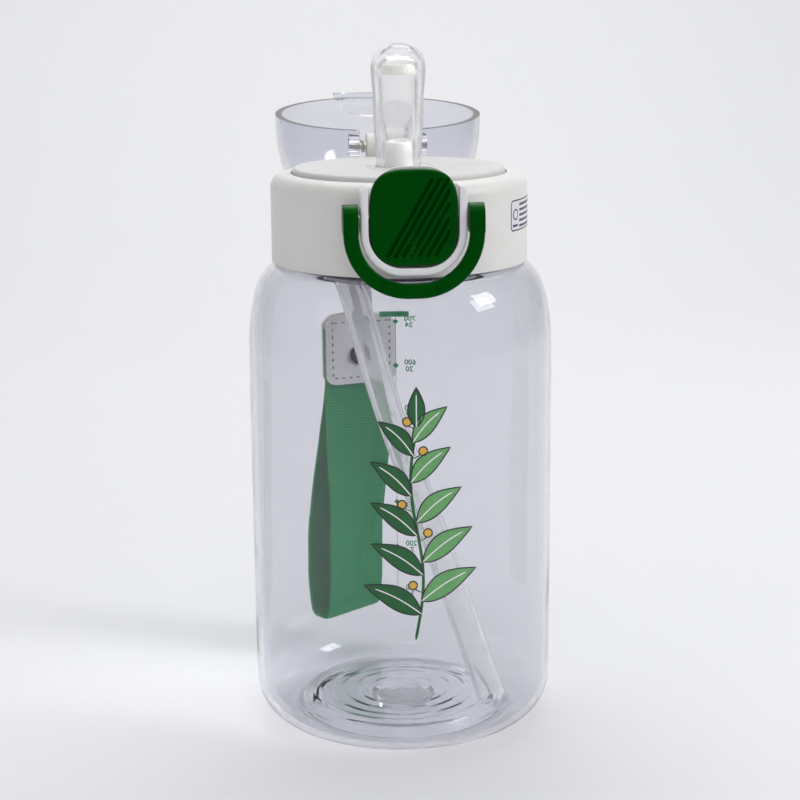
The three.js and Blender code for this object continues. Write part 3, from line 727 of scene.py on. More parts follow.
def u_path(half, bottom, top, corner, steps=14):
    """Points and outward directions down one side of a U, round its bottom and up the other."""
    line = [(-half, top - (top - bottom - corner) * i / 5) for i in range(5)]
    line += curve_arc((-half + corner, bottom + corner), corner, 180, 270, steps)
    flat = half - corner
    if flat > 0.5:
        line += [(flat * (i / 4), bottom) for i in (-3, -2, -1, 0, 1, 2, 3)]
    line += curve_arc((half - corner, bottom + corner), corner, 270, 360, steps)
    line += [(half, bottom + corner + (top - bottom - corner) * (i + 1) / 5) for i in range(5)]
    line = [Vector((x, 0, z)) for x, z in line]
    return [
        (point, Vector((along.z, 0, -along.x)), Vector((0, 1, 0)))
        for point, along in zip(line, tangents(line))
    ]


def lid_shell():
    edge = 4.2
    bore = LID_R - 2
    hole = 30.2
    step_r, step_z = DECK_R + 0.3, LEDGE_Z - 1.3  # the recess that the raised disc sits in
    profile = [
        *rounded([(hole, 174), (hole, step_z), (step_r, step_z), (step_r, LEDGE_Z, 0.15), (35, LEDGE_Z)], 3),
        *curve_arc((LID_R - edge, LEDGE_Z - edge), edge, 90, 0, 14),
        *rounded([(LID_R, 160), (LID_R, LID_BOTTOM, 0.5), (bore, LID_BOTTOM, 0.4), (bore, 160)], 4),
        *rounded([(bore, 168), (bore, LID_PLATE_Z, 0.8), (hole, LID_PLATE_Z), (hole, 174)], 3)[:-1],
    ]
    shell = revolve("shell", profile, None, steps=192, loop=True)
    half = BOSS_WIDTH / 2 - BOSS_RIM
    mouth = rounded([(-half, 190), (-half, 152, 10), (half, 152, 10), (half, 190)], 10)
    pocket = prism("pocket", mouth, to_xz(-60), 60 + POCKET_BACK)
    cut_from(shell, pocket)
    cut_from(shell, prism("lip_seat", oblong(-13.2, 13.2, 174.7, 180), to_xz(-45), 7.1))
    dress(shell, "lid_skirt", WHITE, 30)
    shell.modifiers.new("even", "WEIGHTED_NORMAL").keep_sharp = True
    return stand(shell, "lid", "white_plastic", "lid_shell")


def arm_corner(side):
    """What is cut off an arm's outer top corner, so that the flipped lock ring passes it."""
    half, top, r = BOSS_WIDTH / 2, BOSS_TOP - 0.9, 2.5
    arc = curve_arc((half - r, top - r), r, 0, 90, 10)
    outline = [*arc, (half - r, top + 1), (half + 1, top + 1), (half + 1, top - r)]
    return prism("corner", [(side * x, z) for x, z in outline], to_xz(-60), 30)


def boss_rim():
    """The U-shaped rim round the button: a wall with a rounded front edge, its back in the skirt."""
    outer, inner = 0.7, 0.35  # rounding of the rim's two front edges
    section = rounded(
        [(0, -35), (0, BOSS_FRONT, outer), (-BOSS_RIM, BOSS_FRONT, inner), (-BOSS_RIM, -35)], 5
    )
    path = u_path(BOSS_WIDTH / 2, BOSS_BOTTOM, BOSS_TOP - 0.9, BOSS_CORNER)
    rim = sweep("boss", path, section, WHITE_COOL, sharp=40)
    cut_from(rim, *[arm_corner(side) for side in (-1, 1)])
    dress(rim, "boss", WHITE_COOL, 40)
    return stand(rim, "lid", "white_plastic")


def hinge_lug():
    """The white block that carries the dome's pin: a rounded barrel on a stout web."""
    arc = curve_arc((HINGE.y, HINGE.z), 4, -28, 208, 22)
    outline = [*arc, (34.5, 174.2), (39.2, 173.0)]
    lug = prism("hinge_lug", outline, to_yz(-7.1), 14.2, WHITE, 0.5)
    return stand(lug, "lid", "white_plastic")


def tongue(pivot, root):
    """The side view of a flat lug: straight from y = root to a round end about its pin."""
    arc = curve_arc((pivot.y, pivot.z), 3.2, -90, 90, 16)
    return [*arc, (root, pivot.z + 3.2), (root, pivot.z - 3.2)]


def strap_ears():
    pieces = []
    for x in (STRAP_PIN.x - 8.4, STRAP_PIN.x + 8.4):
        pieces.append(prism("ear", tongue(STRAP_PIN, 34), to_yz(x - 1.1), 2.2, None, 0.4))
    ears = merged("strap_ears", pieces, WHITE)
    return stand(ears, "lid", "white_plastic")


def top_deck():
    hole = 7.3
    disc = DECK_R - 0.35  # inside the closed dome's rim
    bottom = LEDGE_Z - 1
    groove = DECK_TOP - 0.25  # floor of the fine ring round the spout
    profile = [
        *rounded([(hole, 176), (hole, DECK_TOP, 0.35), (9.6, DECK_TOP, 0.2), (9.9, groove, 0.2)], 3)[:-1],
        *rounded([(9.9, groove), (10.4, groove, 0.2), (10.7, DECK_TOP, 0.2), (20, DECK_TOP)], 3),
        *rounded([(30.6, DECK_TOP), (disc, DECK_TOP, 0.9), (disc, bottom), (hole, bottom)], 6),
    ]
    deck = revolve("deck_disc", profile, WHITE_DECK, steps=160, loop=True)
    return stand(deck, "lid", "white_plastic", "top_deck")


lid_shell()
boss_rim()
hinge_lug()
strap_ears()
top_deck()


# ---------------------------------------------------------------- spout and straw
def spout():
    bulb_z = 206.6
    foot = SPOUT_LOW.z
    rim = foot + 1.2
    top = quarter_curve((0, bulb_z), 8.45, SPOUT_HIGH.z - bulb_z, 2.25, 16)
    cavity = quarter_curve((0, 206.4), 5.4, 4.2, 2.4, 8)
    outer = smooth_line(
        [(7.0, 177.4), (7.05, 181), (7.5, 187.5), (7.68, 193), (7.8, 198), (8.3, 203.5), (8.45, bulb_z)], 26
    )
    profile = [
        *cavity[::-1],
        *rounded([(5.2, 206), (5.25, 203, 1), (5.1, 199, 1), (5.2, 188), (4.6, 185.2, 0.5), (4.6, 180)], 3),
        *rounded([(4.6, foot), (9, foot, 0.3), (9, rim, 0.3), (7, rim), (7, 177)], 3),
        *[tuple(p) for p in outer[:-1]],
        *top,
    ]
    piece = revolve("spout_soft", profile, SILICONE, steps=96, sharp=60, seam=0.07)
    return stand(piece, "lid", "clear_silicone", "spout")


def spout_core():
    base = box_mm("spout_nipple")[0].z
    flange = [(2.6, base), (8.4, base, 0.3), (8.4, base + 2, 0.3), (4.3, base + 2, 0.4)]
    stem = [(4.3, 182.4, 0.8), (3.9, 184.8, 0.5), (2.6, 184.8, 0.3), (2.6, 180)]
    profile = rounded([*flange, *stem], 3)
    # The core's lighter white is painted light, making up for the light that the silicone round it holds
    # back.
    core = revolve("spout_core", profile, WHITE_INNER_PAINTED_LIGHT, steps=64, loop=True)
    return stand(core, "lid", "white_inner", "spout_nipple")


STRAW_POINTS = [(-18.2, 0, 160.5), (-14.2, 0, 138), (-5.2, -3.4, 104), (9.8, -10.4, 60), (26.6, -17.8, 9.2)]
STRAW_R, STRAW_BORE_R = 4.5, 3.2


def straw():
    """A tube swept down its outside and back up its bore."""
    frames = carried_frames(smooth_line(STRAW_POINTS, 90), (1, 0, 0))
    steps = 40
    path = [*frames, *frames[::-1], frames[0]]
    radii = [STRAW_R] * len(frames) + [STRAW_BORE_R] * len(frames) + [STRAW_R]
    points = swept(path, [circle(radius, steps) for radius in radii])
    tube = mesh_from("straw_tube", points, tube_faces(steps, len(path))[:-2], STRAW_LOOK, 50)
    return stand(tube, "lid", "straw_plastic", "straw")


def spout_band():
    """The milky closed end of the spout's channel."""
    low, high = 205.2, 208.0
    profile = rounded_loop([(4.7, low, 0.15), (5.15, low, 0.1), (5.05, high, 0.1), (4.5, high, 0.15)], 3)
    band = revolve("spout_band", profile, CREAM, steps=64, loop=True)
    return stand(band, "lid", "clear_silicone")


spout()
spout_band()
spout_core()
straw()


# ---------------------------------------------------------------- dome
def dome_body(radius, height, steps):
    flank = 2
    curve = quarter_curve((0, DOME_RIM_Z + flank), radius, height - flank, 2.15, 30)
    return revolve("dome_part", [(0, DOME_RIM_Z), (radius, DOME_RIM_Z), *curve], None, steps)


def dome():
    body = dome_body(DOME_R, DOME_HEIGHT, 160)
    lip, rise = 175, 7.9
    arch = [(12.9 * math.cos(a), lip + rise * math.sin(a)) for a in (math.pi * i / 32 for i in range(33))]
    tab = prism("tab", arch, to_xz(-39.8), 11.8, None, 0.45)
    lean = [(-43, lip + 3.5), (-39.85, lip + 3.5), (-36.2, lip + rise + 1), (-43, lip + rise + 1)]
    cut_from(tab, prism("lean", lean, to_yz(-16), 32))
    cut_from(tab, prism("under", oblong(-38.2, -20, lip - 1, DOME_RIM_Z + 0.8), to_yz(-16), 32))
    add_to(body, tab)
    for side in (-1, 1):
        start = min(side * 9.3, side * 12.8)
        add_to(body, prism("knuckle", tongue(HINGE, 32.5), to_yz(start), 3.5, None, 0.3))
    bore_r = DOME_R - DOME_WALL
    hollow = dome_body(bore_r, DOME_HEIGHT - DOME_WALL, 160)
    low, high = DOME_RIM_Z - 2, DOME_RIM_Z + 1
    below = revolve("below", [(0, low), (bore_r, low), (bore_r, high), (0, high)], None, 160)
    notch_outline = rounded_loop([(-8.9, 170), (8.9, 170), (8.9, 185.4, 1.4), (-8.9, 185.4, 1.4)], 4)
    notch = prism("notch", notch_outline, to_xz(27), 18)
    bore = rod_x("bore", 1.4, -20, 20, HINGE.y, HINGE.z, None, 24, 0)
    cut_from(body, hollow, below, notch, bore)
    to_hinge = Matrix.Translation(HINGE * MM)
    body.data.transform(to_hinge @ Matrix.Rotation(-DOME_OPEN, 4, "X") @ to_hinge.inverted())
    dress(body, "dome_clear", DOME_CLEAR, 30)
    return stand(body, "cover", "dome_plastic", "dome_cover")


dome()


# ---------------------------------------------------------------- button, lever and lock ring
GROOVE_LEAN = math.radians(30.5)
GROOVE_DEEP = 0.75
PAD_CROWN = 0.35


def squircle(width, height, power, steps):
    def reach(size, turn):
        return size / 2 * math.copysign(abs(turn) ** (2 / power), turn)

    return [(reach(width, c), reach(height, s)) for c, s in circle(1, steps)]


def groove_depth(x, z):
    """How far the diagonal grooves cut into the lower right of the pad, 0 to 1."""
    across = x * math.cos(GROOVE_LEAN) - z * math.sin(GROOVE_LEAN)
    first, pitch, count = -1.2, 2.0, 7
    k = round((across - first) / pitch)
    if not 0 <= k < count:
        return 0.0
    off = abs(across - first - k * pitch)
    line = max(0.0, 1 - (off / 0.6) ** 2)
    aside, above = abs(x) / 10.6, abs(z) / 11.8
    edge = max(aside, above) if x * z > 0 else (aside**4 + above**4) ** 0.25
    return line * min(1, max(0, (1 - edge) / 0.06))


def release_button():
    centre_z = (BUTTON_LOW.z + BUTTON_HIGH.z) / 2
    width = BUTTON_HIGH.x - BUTTON_LOW.x
    height = BUTTON_HIGH.z - BUTTON_LOW.z
    front, back = BUTTON_LOW.y, BUTTON_HIGH.y
    steps, rings, edge = 288, 84, 1.1
    rim = squircle(width, height, 3.35, steps)
    points = []
    for ring in range(rings + 1):
        share = ring / rings
        for x, z in rim:
            px, pz = x * share, z * share
            gap = (1 - share) * min(width, height) / 2
            fall = edge - math.sqrt(max(0, edge**2 - (edge - min(gap, edge)) ** 2))
            sunk = PAD_CROWN * share**2 + fall * 0.8 + GROOVE_DEEP * groove_depth(px, pz)
            points.append((px, front + sunk, centre_z + pz))
    points += [(x, back, centre_z + z) for x, z in rim]
    button = mesh_from("button_pad", points, tube_faces(steps, rings + 2), GREEN, 40)
    return stand(button, "button", "green_plastic", "release_button")


def latch_lever():
    half, low, high = 12.2, LEVER_LOW.z, LEVER_HIGH.z
    outline = rounded_loop([(-half, low, 6), (half, low, 6), (half, high, 9), (-half, high, 9)], 10)
    lever = prism("lever", outline, to_xz(-43.3), 1.7, None, 0.5)
    knuckles = [rod_x("knuckle", 1.9, start, start + 4.2, LATCH.y, LATCH.z) for start in (-half, 8)]
    lever = merged("latch_plate", [lever, *knuckles], WHITE)
    return stand(lever, "button", "white_inner", "latch_lever")


def lock_ring():
    half = RING_HIGH.x
    wide, deep = 4.4, 2.6
    front = RING_LOW.y
    soft = 0.7
    section = rounded_loop(
        [(0, front, soft), (0, front + deep, soft), (-wide, front + deep, soft), (-wide, front, soft)], 4
    )
    bow = sweep("bow", u_path(half, RING_LOW.z, LATCH.z - 0.5, 19, 24), section)
    ears = []
    nose, back, low, high = front - 0.02, -38.8, 162.2, RING_HIGH.z
    for x in (-half, half - wide):
        outline = rounded_loop([(nose, low, 0.4), (back, low, 3), (back, high, 3.4), (nose, high, 3.7)], 9)
        ears.append(prism("ear", outline, to_yz(x - 0.01), wide + 0.02, None, 0.6))
    add_to(bow, *ears)
    dots = []
    for x, z in ((-half + wide / 2, 162.6), (half - wide / 2, 162.9), (-8.2, 146.8), (8.2, 146.8)):
        dot = [(x + a, z + b) for a, b in circle(1.3, 24)]
        dots.append(prism("dot", dot, to_xz(front - 0.32), 0.8, None, 0.1))
    add_to(bow, *dots)
    dress(bow, "lock_ring_bow", GREEN, 30)
    return stand(bow, "lock", "green_plastic", "lock_ring")


release_button()
latch_lever()
lock_ring()


# ---------------------------------------------------------------- small steel parts
def pin(node, name):
    low, high = box_mm(node)
    middle = (low + high) / 2
    piece = rod_x(name, (high.z - low.z) / 2, low.x, high.x, middle.y, middle.z, STEEL, 32, 0.2)
    return stand(piece, "lid", "steel", node)


def coil(node, name, radius, along):
    """A wound wire along X (0) or Y (1) in the middle of its CAD node."""
    wire, turns = 0.22, 2
    low, high = box_mm(node)
    middle = (low + high) / 2
    length = (high - low)[along] - 2 * wire
    line = []
    for i in range(turns * 24 + 1):
        t = i / (turns * 24)
        angle = 2 * math.pi * turns * t
        offset = length * (t - 0.5)
        a, b = radius * math.cos(angle), radius * math.sin(angle)
        line.append(middle + (Vector((offset, a, b)) if along == 0 else Vector((a, offset, b))))
    first = (0, 1, 0) if along == 0 else (1, 0, 0)
    piece = sweep(name, carried_frames(line, first), circle(wire, 10), STEEL, sharp=60)
    return stand(piece, "lid", "steel", node)


for node in ("hinge_pin", "latch_pin", "strap_pin"):
    pin(node, f"{node}_rod")
for side in ("left", "right"):
    coil(f"hinge_spring_{side}", f"hinge_coil_{side}", 2, 0)
coil("button_spring", "button_coil", 2.4, 1)

# lid_liner and straw_adapter take the lightened white, painted light for the shaded inside of the lid.
INNER_LOOKS = {
    "lid_gasket": SILICONE,
    "lid_liner": WHITE_INNER_PAINTED_LIGHT,
    "straw_adapter": WHITE_INNER_PAINTED_LIGHT,
    "vent_valve": SILICONE,
}
for node, look in INNER_LOOKS.items():
    carried = frame["nodes"][node]
    carried.data.materials.clear()
    carried.data.materials.append(look)


# ---------------------------------------------------------------- strap
def ribbon(name, line, widths, thickness, across_at, material, edge_material=None, cross=12):
    """A flat strip with rounded edges along a line, with UV in millimetres. widths and across_at
    give its width and its direction across at each point."""
    points, uvs = [], []
    section = []
    for side in (1, -1):
        for i in range(cross + 1):
            section.append((side * (0.5 - i / cross), side * 0.5))
    length = 0.0
    along = tangents(line)
    for i, point in enumerate(line):
        if i:
            length += (point - line[i - 1]).length
        across = Vector(across_at[i])
        across = (across - along[i] * across.dot(along[i])).normalized()
        normal = along[i].cross(across)
        for share, face in section:
            inset = 1 - (0.18 if abs(share) > 0.499 else 0)
            points.append(point + across * share * widths[i] + normal * face * thickness * inset)
            uvs.append((share * widths[i], length))
    size = len(section)
    faces = tube_faces(size, len(line))
    piece = mesh_from(name, points, faces, material, 50)
    mesh = piece.data
    layer = mesh.uv_layers.new(name="cloth")
    for loop in mesh.loops:
        layer.data[loop.index].uv = uvs[loop.vertex_index]
    if edge_material:
        mesh.materials.append(edge_material)
        for polygon in mesh.polygons:
            if polygon.index % size in (cross, size - 1) or polygon.index >= size * (len(line) - 1):
                polygon.material_index = 1
    return piece


STRAP_X = STRAP_PIN.x
PLATE_IN, PLATE_OUT = 49.55, 54.25
LEG_IN, LEG_OUT = 51.15, 52.65
STRAP_MIDDLE_Y = (PLATE_IN + PLATE_OUT) / 2
PATCH_LOW = HANGER_LOW.z + 1.4
PATCH_TOP = HANGER_LOW.z + 26.4


FOLD_Z, PATCH_TURN = 144, math.radians(15)  # below the fold at the pin the patch turns
LOOP_Z, LOOP_TURN = 97, math.radians(24)  # below this height the loop turns on
LOOP_DRIFT, LOOP_OUT = -3.4, 2.2  # and swings to the side, and off the bottle's wall


def passed(start, span, z):
    """How much of a span below a height lies above z, 0 to 1."""
    return min(1, max(0, (start - z) / span))


def eased(share):
    return share * share * (3 - 2 * share)


def strap_twist(z):
    """How far the hanging strap has turned about its own length at a height, in radians."""
    return PATCH_TURN * eased(passed(FOLD_Z, 20, z)) + LOOP_TURN * eased(passed(LOOP_Z, 52, z))


def on_strap(s, y, z):
    """A place on the twisted strap: s across it, y as on the flat strap, z its height."""
    twist, fall = strap_twist(z), passed(LOOP_Z, 50, z)
    middle = STRAP_MIDDLE_Y if z < FOLD_Z else y
    off = y - middle
    x = STRAP_X + LOOP_DRIFT * fall + s * math.cos(twist) - off * math.sin(twist)
    return Vector((x, middle + LOOP_OUT * fall + off * math.cos(twist) + s * math.sin(twist), z))


def strap_across(z):
    twist = strap_twist(z)
    return (math.cos(twist), math.sin(twist), 0)


def strap_hanger():
    cy, cz = STRAP_PIN.y, STRAP_PIN.z
    route = [
        (PLATE_IN, PATCH_LOW), (PLATE_IN, 112), (PLATE_IN, 124), (48.8, 134),
        (46.9, 143), (43.9, 150.5), (cy - 1.85, cz - 1.6), (cy - 1.5, cz + 1.4),
        (cy, cz + 2), (cy + 1.6, cz + 1.2), (cy + 2.3, cz - 1.6), (47, 150.5),
        (50.6, 142), (53, 132), (PLATE_OUT, 122), (PLATE_OUT, 112),
        (PLATE_OUT, PATCH_LOW),
    ]
    line = [on_strap(0, p.y, p.z) for p in smooth_line([(0, y, z) for y, z in route], 190)]
    wide, narrow = 25.6, 8.6
    top, low = PATCH_TOP, PATCH_LOW
    widths = []
    for p in line:
        if p.z > top + 0.6:
            width = narrow
        elif p.z > top:
            width = wide - 6.4 - (wide - 6.4 - narrow) * (p.z - top) / 0.6
        elif p.z > top - 3.2:
            width = wide - 6.4 * (p.z - top + 3.2) / 3.2
        else:
            r = 3.0
            lift = min(1, max(0, (p.z - low) / r))
            width = wide - 2 * r * (1 - math.sqrt(max(0, 1 - (1 - lift) ** 2)))
        widths.append(width)
    across = [strap_across(p.z) for p in line]
    piece = ribbon("hanger", line, widths, 1.3, across, LEATHER, LEATHER_EDGE, 14)
    return stand(piece, "strap", "leatherette", "strap_hanger")


def stitches():
    """Thread along the two plates' borders, proud of the leather on the outer sides."""
    pieces = []
    inset, pitch = 2.3, 2.55
    low, high = PATCH_LOW + inset, PATCH_TOP - 2.7
    half = 12.8 - inset
    places = [(s, z, 1) for s in (-half, half) for z in steps_between(low + 1.2, high, pitch)]
    places += [(s, z, 0) for z in (low, high) for s in steps_between(1.2 - half, half - 1.2, pitch)]
    for y in (PLATE_IN - 0.66, PLATE_OUT + 0.66):
        for x, z, upright in places:
            ends = Vector((0, 0, 0.62)) if upright else Vector(strap_across(z)) * 0.62
            middle = on_strap(x, y, z)
            line = [middle - ends, middle - ends * 0.6, middle, middle + ends * 0.6, middle + ends]
            radii = (0.05, 0.22, 0.26, 0.22, 0.05)
            pieces.append(bead(line, radii))
    thread = merged("stitching", pieces, THREAD)
    return stand(thread, "strap", "leatherette")


def steps_between(start, end, pitch):
    count = max(1, round((end - start) / pitch))
    return [start + (end - start) * i / count for i in range(count + 1)]


def bead(line, radii):
    """One stitch: a short thread, thinner at its ends."""
    sections = [circle(radius, 6) for radius in radii]
    return mesh_from("bead", swept(carried_frames(line, (0, 1, 0)), sections), tube_faces(6, len(line)))


def strap_webbing():
    """One length of webbing, down the inner side, round the bottom and up the outer side, with the
    slow twist that a hanging hand loop takes."""
    bottom = WEB_LOW.z + 2.6
    route = [
        (LEG_IN, 118.5), (LEG_IN, 108), (LEG_IN, 97), (50, 80),
        (49.2, 60), (49.3, 38), (49.9, 24), (51.7, 16),
        (55.5, bottom), (59.3, 16), (61.4, 24), (61.8, 38),
        (60.2, 60), (56.4, 80), (LEG_OUT, 97), (LEG_OUT, 108),
        (LEG_OUT, 118.5),
    ]
    line = [on_strap(0, p.y, p.z) for p in smooth_line([(0, y, z) for y, z in route], 150)]
    across = [strap_across(p.z) for p in line]
    piece = ribbon("webbing_loop", line, [25] * len(line), 1.3, across, WEBBING, None, 20)
    stand(piece, "strap", "webbing", "strap_webbing")
    return piece


def snap(name, node, low, high, facing):
    middle = (low + high) / 2
    radius = (high.x - low.x) / 2
    depth = high.y - low.y
    crest, dish = radius * 0.72, depth * 0.62
    profile = [
        *rounded([(0, 0), (radius, 0, 0.2), (radius, depth * 0.55, 0.35), (crest, depth, 0.3)], 4)[:-1],
        *rounded([(crest, depth), (radius * 0.5, dish, 0.5), (radius * 0.2, dish, 0.3), (0, depth * 0.8)], 4),
    ]
    cap = revolve(name, profile, SNAP_DARK, steps=48)
    turn = Matrix.Rotation(strap_twist(middle.z), 4, "Z")
    turn = turn @ Matrix.Rotation(math.radians(90 if facing < 0 else -90), 4, "X")
    start = on_strap(-0.8, high.y if facing < 0 else low.y, middle.z) * MM
    cap.data.transform(Matrix.Translation(start) @ turn)
    return stand(cap, "strap", "snap_metal", node)


strap_hanger()
stitches()
strap_webbing()
snap("snap_front", "snap_cap", SNAP_LOW, SNAP_HIGH, -1)
snap("snap_back", "snap_stud", STUD_LOW, STUD_HIGH, 1)


# ---------------------------------------------------------------- prints
INK_STEP = 0.02  # each layer of ink stands this much prouder than the one under it


def ellipse(cs, cz, rs, rz, steps=48):
    return [(cs + rs * c, cz + rz * s) for c, s in circle(1, steps)]


def stroke(line, width):
    """The outline of a line drawn with a round-ended pen."""
    left, right = [], []
    for i, (s, z) in enumerate(line):
        before, after = line[max(i - 1, 0)], line[min(i + 1, len(line) - 1)]
        ds, dz = after[0] - before[0], after[1] - before[1]
        size = math.hypot(ds, dz) or 1
        share = 0.55 if i in (0, len(line) - 1) else 1
        left.append((s - dz / size * width / 2 * share, z + ds / size * width / 2 * share))
        right.append((s + dz / size * width / 2 * share, z - ds / size * width / 2 * share))
    return left + right[::-1]


def wrapped(s, z, radius, azimuth):
    angle = azimuth + s / radius
    return (radius * math.sin(angle), -radius * math.cos(angle), z)


def inked(flat, place, inner, outer):
    """A closed sheet between two radii, from flat triangles in millimetres, which it uses up.
    place maps (along, up, radius) to space."""
    flat.verts.index_update()
    spots = [(v.co.x, v.co.y) for v in flat.verts]
    triangles = [[v.index for v in f.verts] for f in flat.faces]
    rims = [[v.index for v in e.verts] for e in flat.edges if e.is_boundary]
    flat.free()
    count = len(spots)
    points = [place(a, b, reach) for reach in (inner, outer) for a, b in spots]
    faces = [t[::-1] for t in triangles] + [[i + count for i in t] for t in triangles]
    faces += [[a, b, b + count, a + count] for a, b in rims]
    return mesh_from("ink", points, faces)


def decal(outline, layer, radius, azimuth=0.0):
    """A thin closed sheet of ink on a cylinder round Z. The outline is in millimetres along and up
    the wall, from the middle line at the given azimuth (0 is the front, turning towards +X)."""
    flat = bmesh.new()
    flat.faces.new([flat.verts.new((s, z, 0)) for s, z in outline])
    low, high = min(s for s, _ in outline), max(s for s, _ in outline)
    step = 1.2
    for k in range(math.floor(low / step) + 1, math.ceil(high / step)):
        parts = flat.verts[:] + flat.edges[:] + flat.faces[:]
        bmesh.ops.bisect_plane(flat, geom=parts, plane_co=(k * step, 0, 0), plane_no=(1, 0, 0))
    bmesh.ops.triangulate(flat, faces=flat.faces[:])
    inner = radius + 0.012 + layer * INK_STEP * 0.4
    outer = radius + 0.03 + layer * INK_STEP
    return inked(flat, lambda s, z, reach: wrapped(s * reach / radius, z, reach, azimuth), inner, outer)


def wall_uv(ink, spread):
    """A UV map in millimetres. spread maps a point to its place on the map."""
    layer = ink.data.uv_layers.new(name="wall")
    for loop in ink.data.loops:
        layer.data[loop.index].uv = spread(*ink.data.vertices[loop.vertex_index].co / MM)


def printed(
    name, outlines, layer, material, radius=BODY_R, azimuth=0.0, body="bottle", slot="bottle_plastic"
):
    """Several outlines in one ink, as one piece with a UV map in millimetres round and up the wall."""
    ink = merged(name, [decal(outline, layer, radius, azimuth) for outline in outlines], material)
    wall_uv(ink, lambda x, y, z: (radius * (math.atan2(x, -y) - azimuth), z))
    return stand(ink, body, slot)


STEM_LOW, STEM_TOP = 43, 105
LEAF_PAIRS = 5


def stem_side(z):
    """How far the sprig's stem bends to the side at a height."""
    return 1.8 * math.sin(2 * math.pi * (z - STEM_LOW) / (STEM_TOP - STEM_LOW))


def leaf_rib(base, length, angle):
    """The curved middle line of a leaf, from its foot to its tip."""
    steps = 16
    foot, turn = Vector(base), Matrix.Rotation(angle, 2)
    line = []
    for i in range(steps + 1):
        bow = 1.4 * math.cos(angle) * math.sin(math.pi * i / steps)
        line.append(tuple(foot + turn @ Vector((length * i / steps, bow))))
    return line


def leaf(base, length, width, angle):
    """A pointed leaf round its middle line."""
    rib = leaf_rib(base, length, angle)
    last = len(rib) - 1
    left, right = [], []
    for i, (s, z) in enumerate(rib[1:-1], 1):
        half = width / 2 * math.sin(math.pi * (i / last) ** 0.8)
        left.append((s - half * math.sin(angle), z + half * math.cos(angle)))
        right.append((s + half * math.sin(angle), z - half * math.cos(angle)))
    return [rib[0], *right, rib[-1], *left[::-1]]


INK_LINE = printed_ink("ink_line", (0.012, 0.014, 0.022))
INK_WHITE = printed_ink("ink_white", (0.92, 0.92, 0.93), (0.86, 0.86, 0.88), size=5)
INK_PALE = printed_ink("ink_pale", (0.80, 0.79, 0.84), (0.70, 0.69, 0.75), size=9)
INK_GREEN = printed_ink("ink_green", (0.004, 0.13, 0.028), (0.003, 0.09, 0.02), size=4)
INK_LIGHT_GREEN = printed_ink("ink_light_green", (0.16, 0.42, 0.15), (0.11, 0.33, 0.11), size=4)
INK_SCALE = printed_ink("ink_scale", (0.01, 0.42, 0.13))
INK_YELLOW = printed_ink("ink_yellow", (0.80, 0.50, 0.06), (0.70, 0.40, 0.04), size=1.5)


def front_picture():
    """A leafy sprig: pairs of leaves up a bent stem, with a berry over each pair."""
    leaves, ribs, berries, stalks = [], [], [], []
    for k in range(LEAF_PAIRS):
        rise = k / (LEAF_PAIRS - 1)
        z = STEM_LOW + 7 + (STEM_TOP - STEM_LOW - 13) * rise
        length = 19.5 - 5 * rise
        for side in (-1, 1):
            foot = (stem_side(z), z + 2 * side)
            lift = math.radians(27 + 18 * rise)
            angle = lift if side > 0 else math.pi - lift
            leaves.append(leaf(foot, length, 7 - 1.4 * rise, angle))
            ribs.append(stroke(leaf_rib(foot, length, angle)[:-3], 0.35))
        side = 1 if k % 2 else -1
        height = z + 8.8 + 1.8 * side + 1.2 * rise
        berry = (stem_side(height) + 3.1 * side, height)
        berries.append(ellipse(*berry, 1.3, 1.3, 28))
        fork = berry[1] - 2.4
        stalks.append(stroke([(stem_side(fork), fork), (stem_side(fork) + 2 * side, fork + 0.9), berry], 0.4))
    tip = (stem_side(STEM_TOP), STEM_TOP + 0.5)
    leaves.append(leaf(tip, 12, 5, math.pi / 2))
    ribs.append(stroke(leaf_rib(tip, 12, math.pi / 2)[:-3], 0.35))
    stem = stroke([(stem_side(z), z) for z in steps_between(STEM_LOW - 3, STEM_TOP + 0.8, 1.5)], 0.9)
    printed("print_stem", [stem, *stalks], 0, INK_GREEN)
    printed("print_dark_leaves", leaves[0::2], 1, INK_GREEN)
    printed("print_light_leaves", leaves[1::2], 1, INK_LIGHT_GREEN)
    printed("print_berries", berries, 1, INK_YELLOW)
    edges = [stroke([*outline, outline[0]], 0.4) for outline in leaves + berries]
    printed("print_edges", edges, 2, INK_LINE)
    printed("print_ribs", ribs, 3, INK_WHITE)


SCALE_TOP, SCALE_STEP = 121.0, 16.1  # height of the top mark, and the fall to each next one
SCALE_FULL_ML = 700
ML_PER_OUNCE = 29.57
SCALE_AZIMUTH = math.pi - 3 / BODY_R


def number_outline(text, size, s, z):
    """A plain number as flat triangles, its middle height at z."""
    font = bpy.data.curves.new("number", "FONT")
    font.body = text
    font.size = size * MM
    font.resolution_u = 3
    font.offset = 0.06 * MM
    holder = linked("number", font)
    mesh = evaluated_mesh(holder)
    bpy.data.objects.remove(holder)
    flat = bmesh.new()
    flat.from_mesh(mesh)
    bmesh.ops.remove_doubles(flat, verts=flat.verts, dist=WELD_M)
    bmesh.ops.triangulate(flat, faces=flat.faces[:])
    for v in flat.verts:
        v.co = (s + v.co.x / MM, z - size * 0.34 + v.co.y / MM, 0)
    return inked(flat, lambda a, b, reach: wrapped(a, b, reach, SCALE_AZIMUTH), BODY_R + 0.012, BODY_R + 0.04)


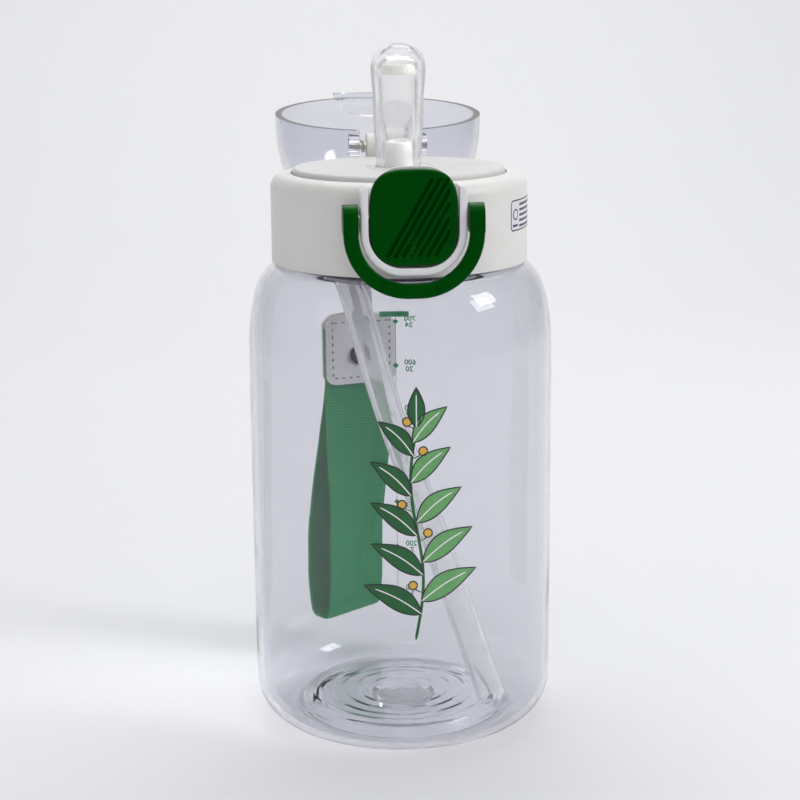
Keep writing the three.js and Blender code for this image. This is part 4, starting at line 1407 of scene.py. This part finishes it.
def rear_scale():
    """Filling marks on the rear wall: a lozenge and two numbers at each, and a bar above the last."""
    heights = [SCALE_TOP - k * SCALE_STEP for k in range(7)]
    dots = [
        rounded_loop([(-1.1, z, 0.1), (0, z - 1, 0.1), (1.1, z, 0.1), (0, z + 1, 0.1)], 2) for z in heights
    ]
    line = [stroke([(0, heights[-1] - 3), (0, SCALE_TOP + 2)], 0.28)]
    bar = [oblong(-4.6, 5.6, 122.9, 125.2, 0.4, 3)]
    printed("scale_marks", dots + line + bar, 0, INK_SCALE, azimuth=SCALE_AZIMUTH)
    pieces = []
    for k, z in enumerate(heights):
        millilitres = SCALE_FULL_ML - 100 * k
        pieces.append(number_outline(str(millilitres), 2.7, -7.0, z + 1.15))
        pieces.append(number_outline(str(round(millilitres / ML_PER_OUNCE)), 2.7, -6.0, z - 1.25))
    numbers = merged("scale_numbers", pieces, INK_SCALE)
    wall_uv(numbers, lambda x, y, z: (x, z))
    stand(numbers, "bottle", "bottle_plastic")


def lid_label():
    """A blank label on the lid's right: a frame with plain bars where small print would go."""
    azimuth = math.radians(70.2)
    half, low, high = 12.6, 159.2, 168.6
    place = {"radius": LID_R, "azimuth": azimuth, "body": "lid", "slot": "white_plastic"}
    frame_line = oblong(-half, half, low, high, 1.4)
    inside = oblong(0.4 - half, half - 0.4, low + 0.4, high - 0.4, 1)
    printed("label_frame", [frame_line], 0, INK_LINE, **place)
    printed("label_field", [inside], 1, INK_PALE, **place)
    bars = []
    for row in range(5):
        z = 167.0 - row * 1.62
        end = (10.6, 8.2, 10.9, 6.4, 9.6)[row]
        bars.append(oblong(-6.8, end, z - 0.38, z + 0.38))
    mark = ellipse(-9.6, 164.2, 1.7, 1.7, 32)
    underline = oblong(-11.4, -7.9, 160.5, 161.2)
    printed("label_bars", [*bars, mark, underline], 2, INK_LINE, **place)
    printed("label_mark", [ellipse(-9.6, 164.2, 1.25, 1.25, 32)], 3, INK_PALE, **place)


front_picture()
rear_scale()
lid_label()
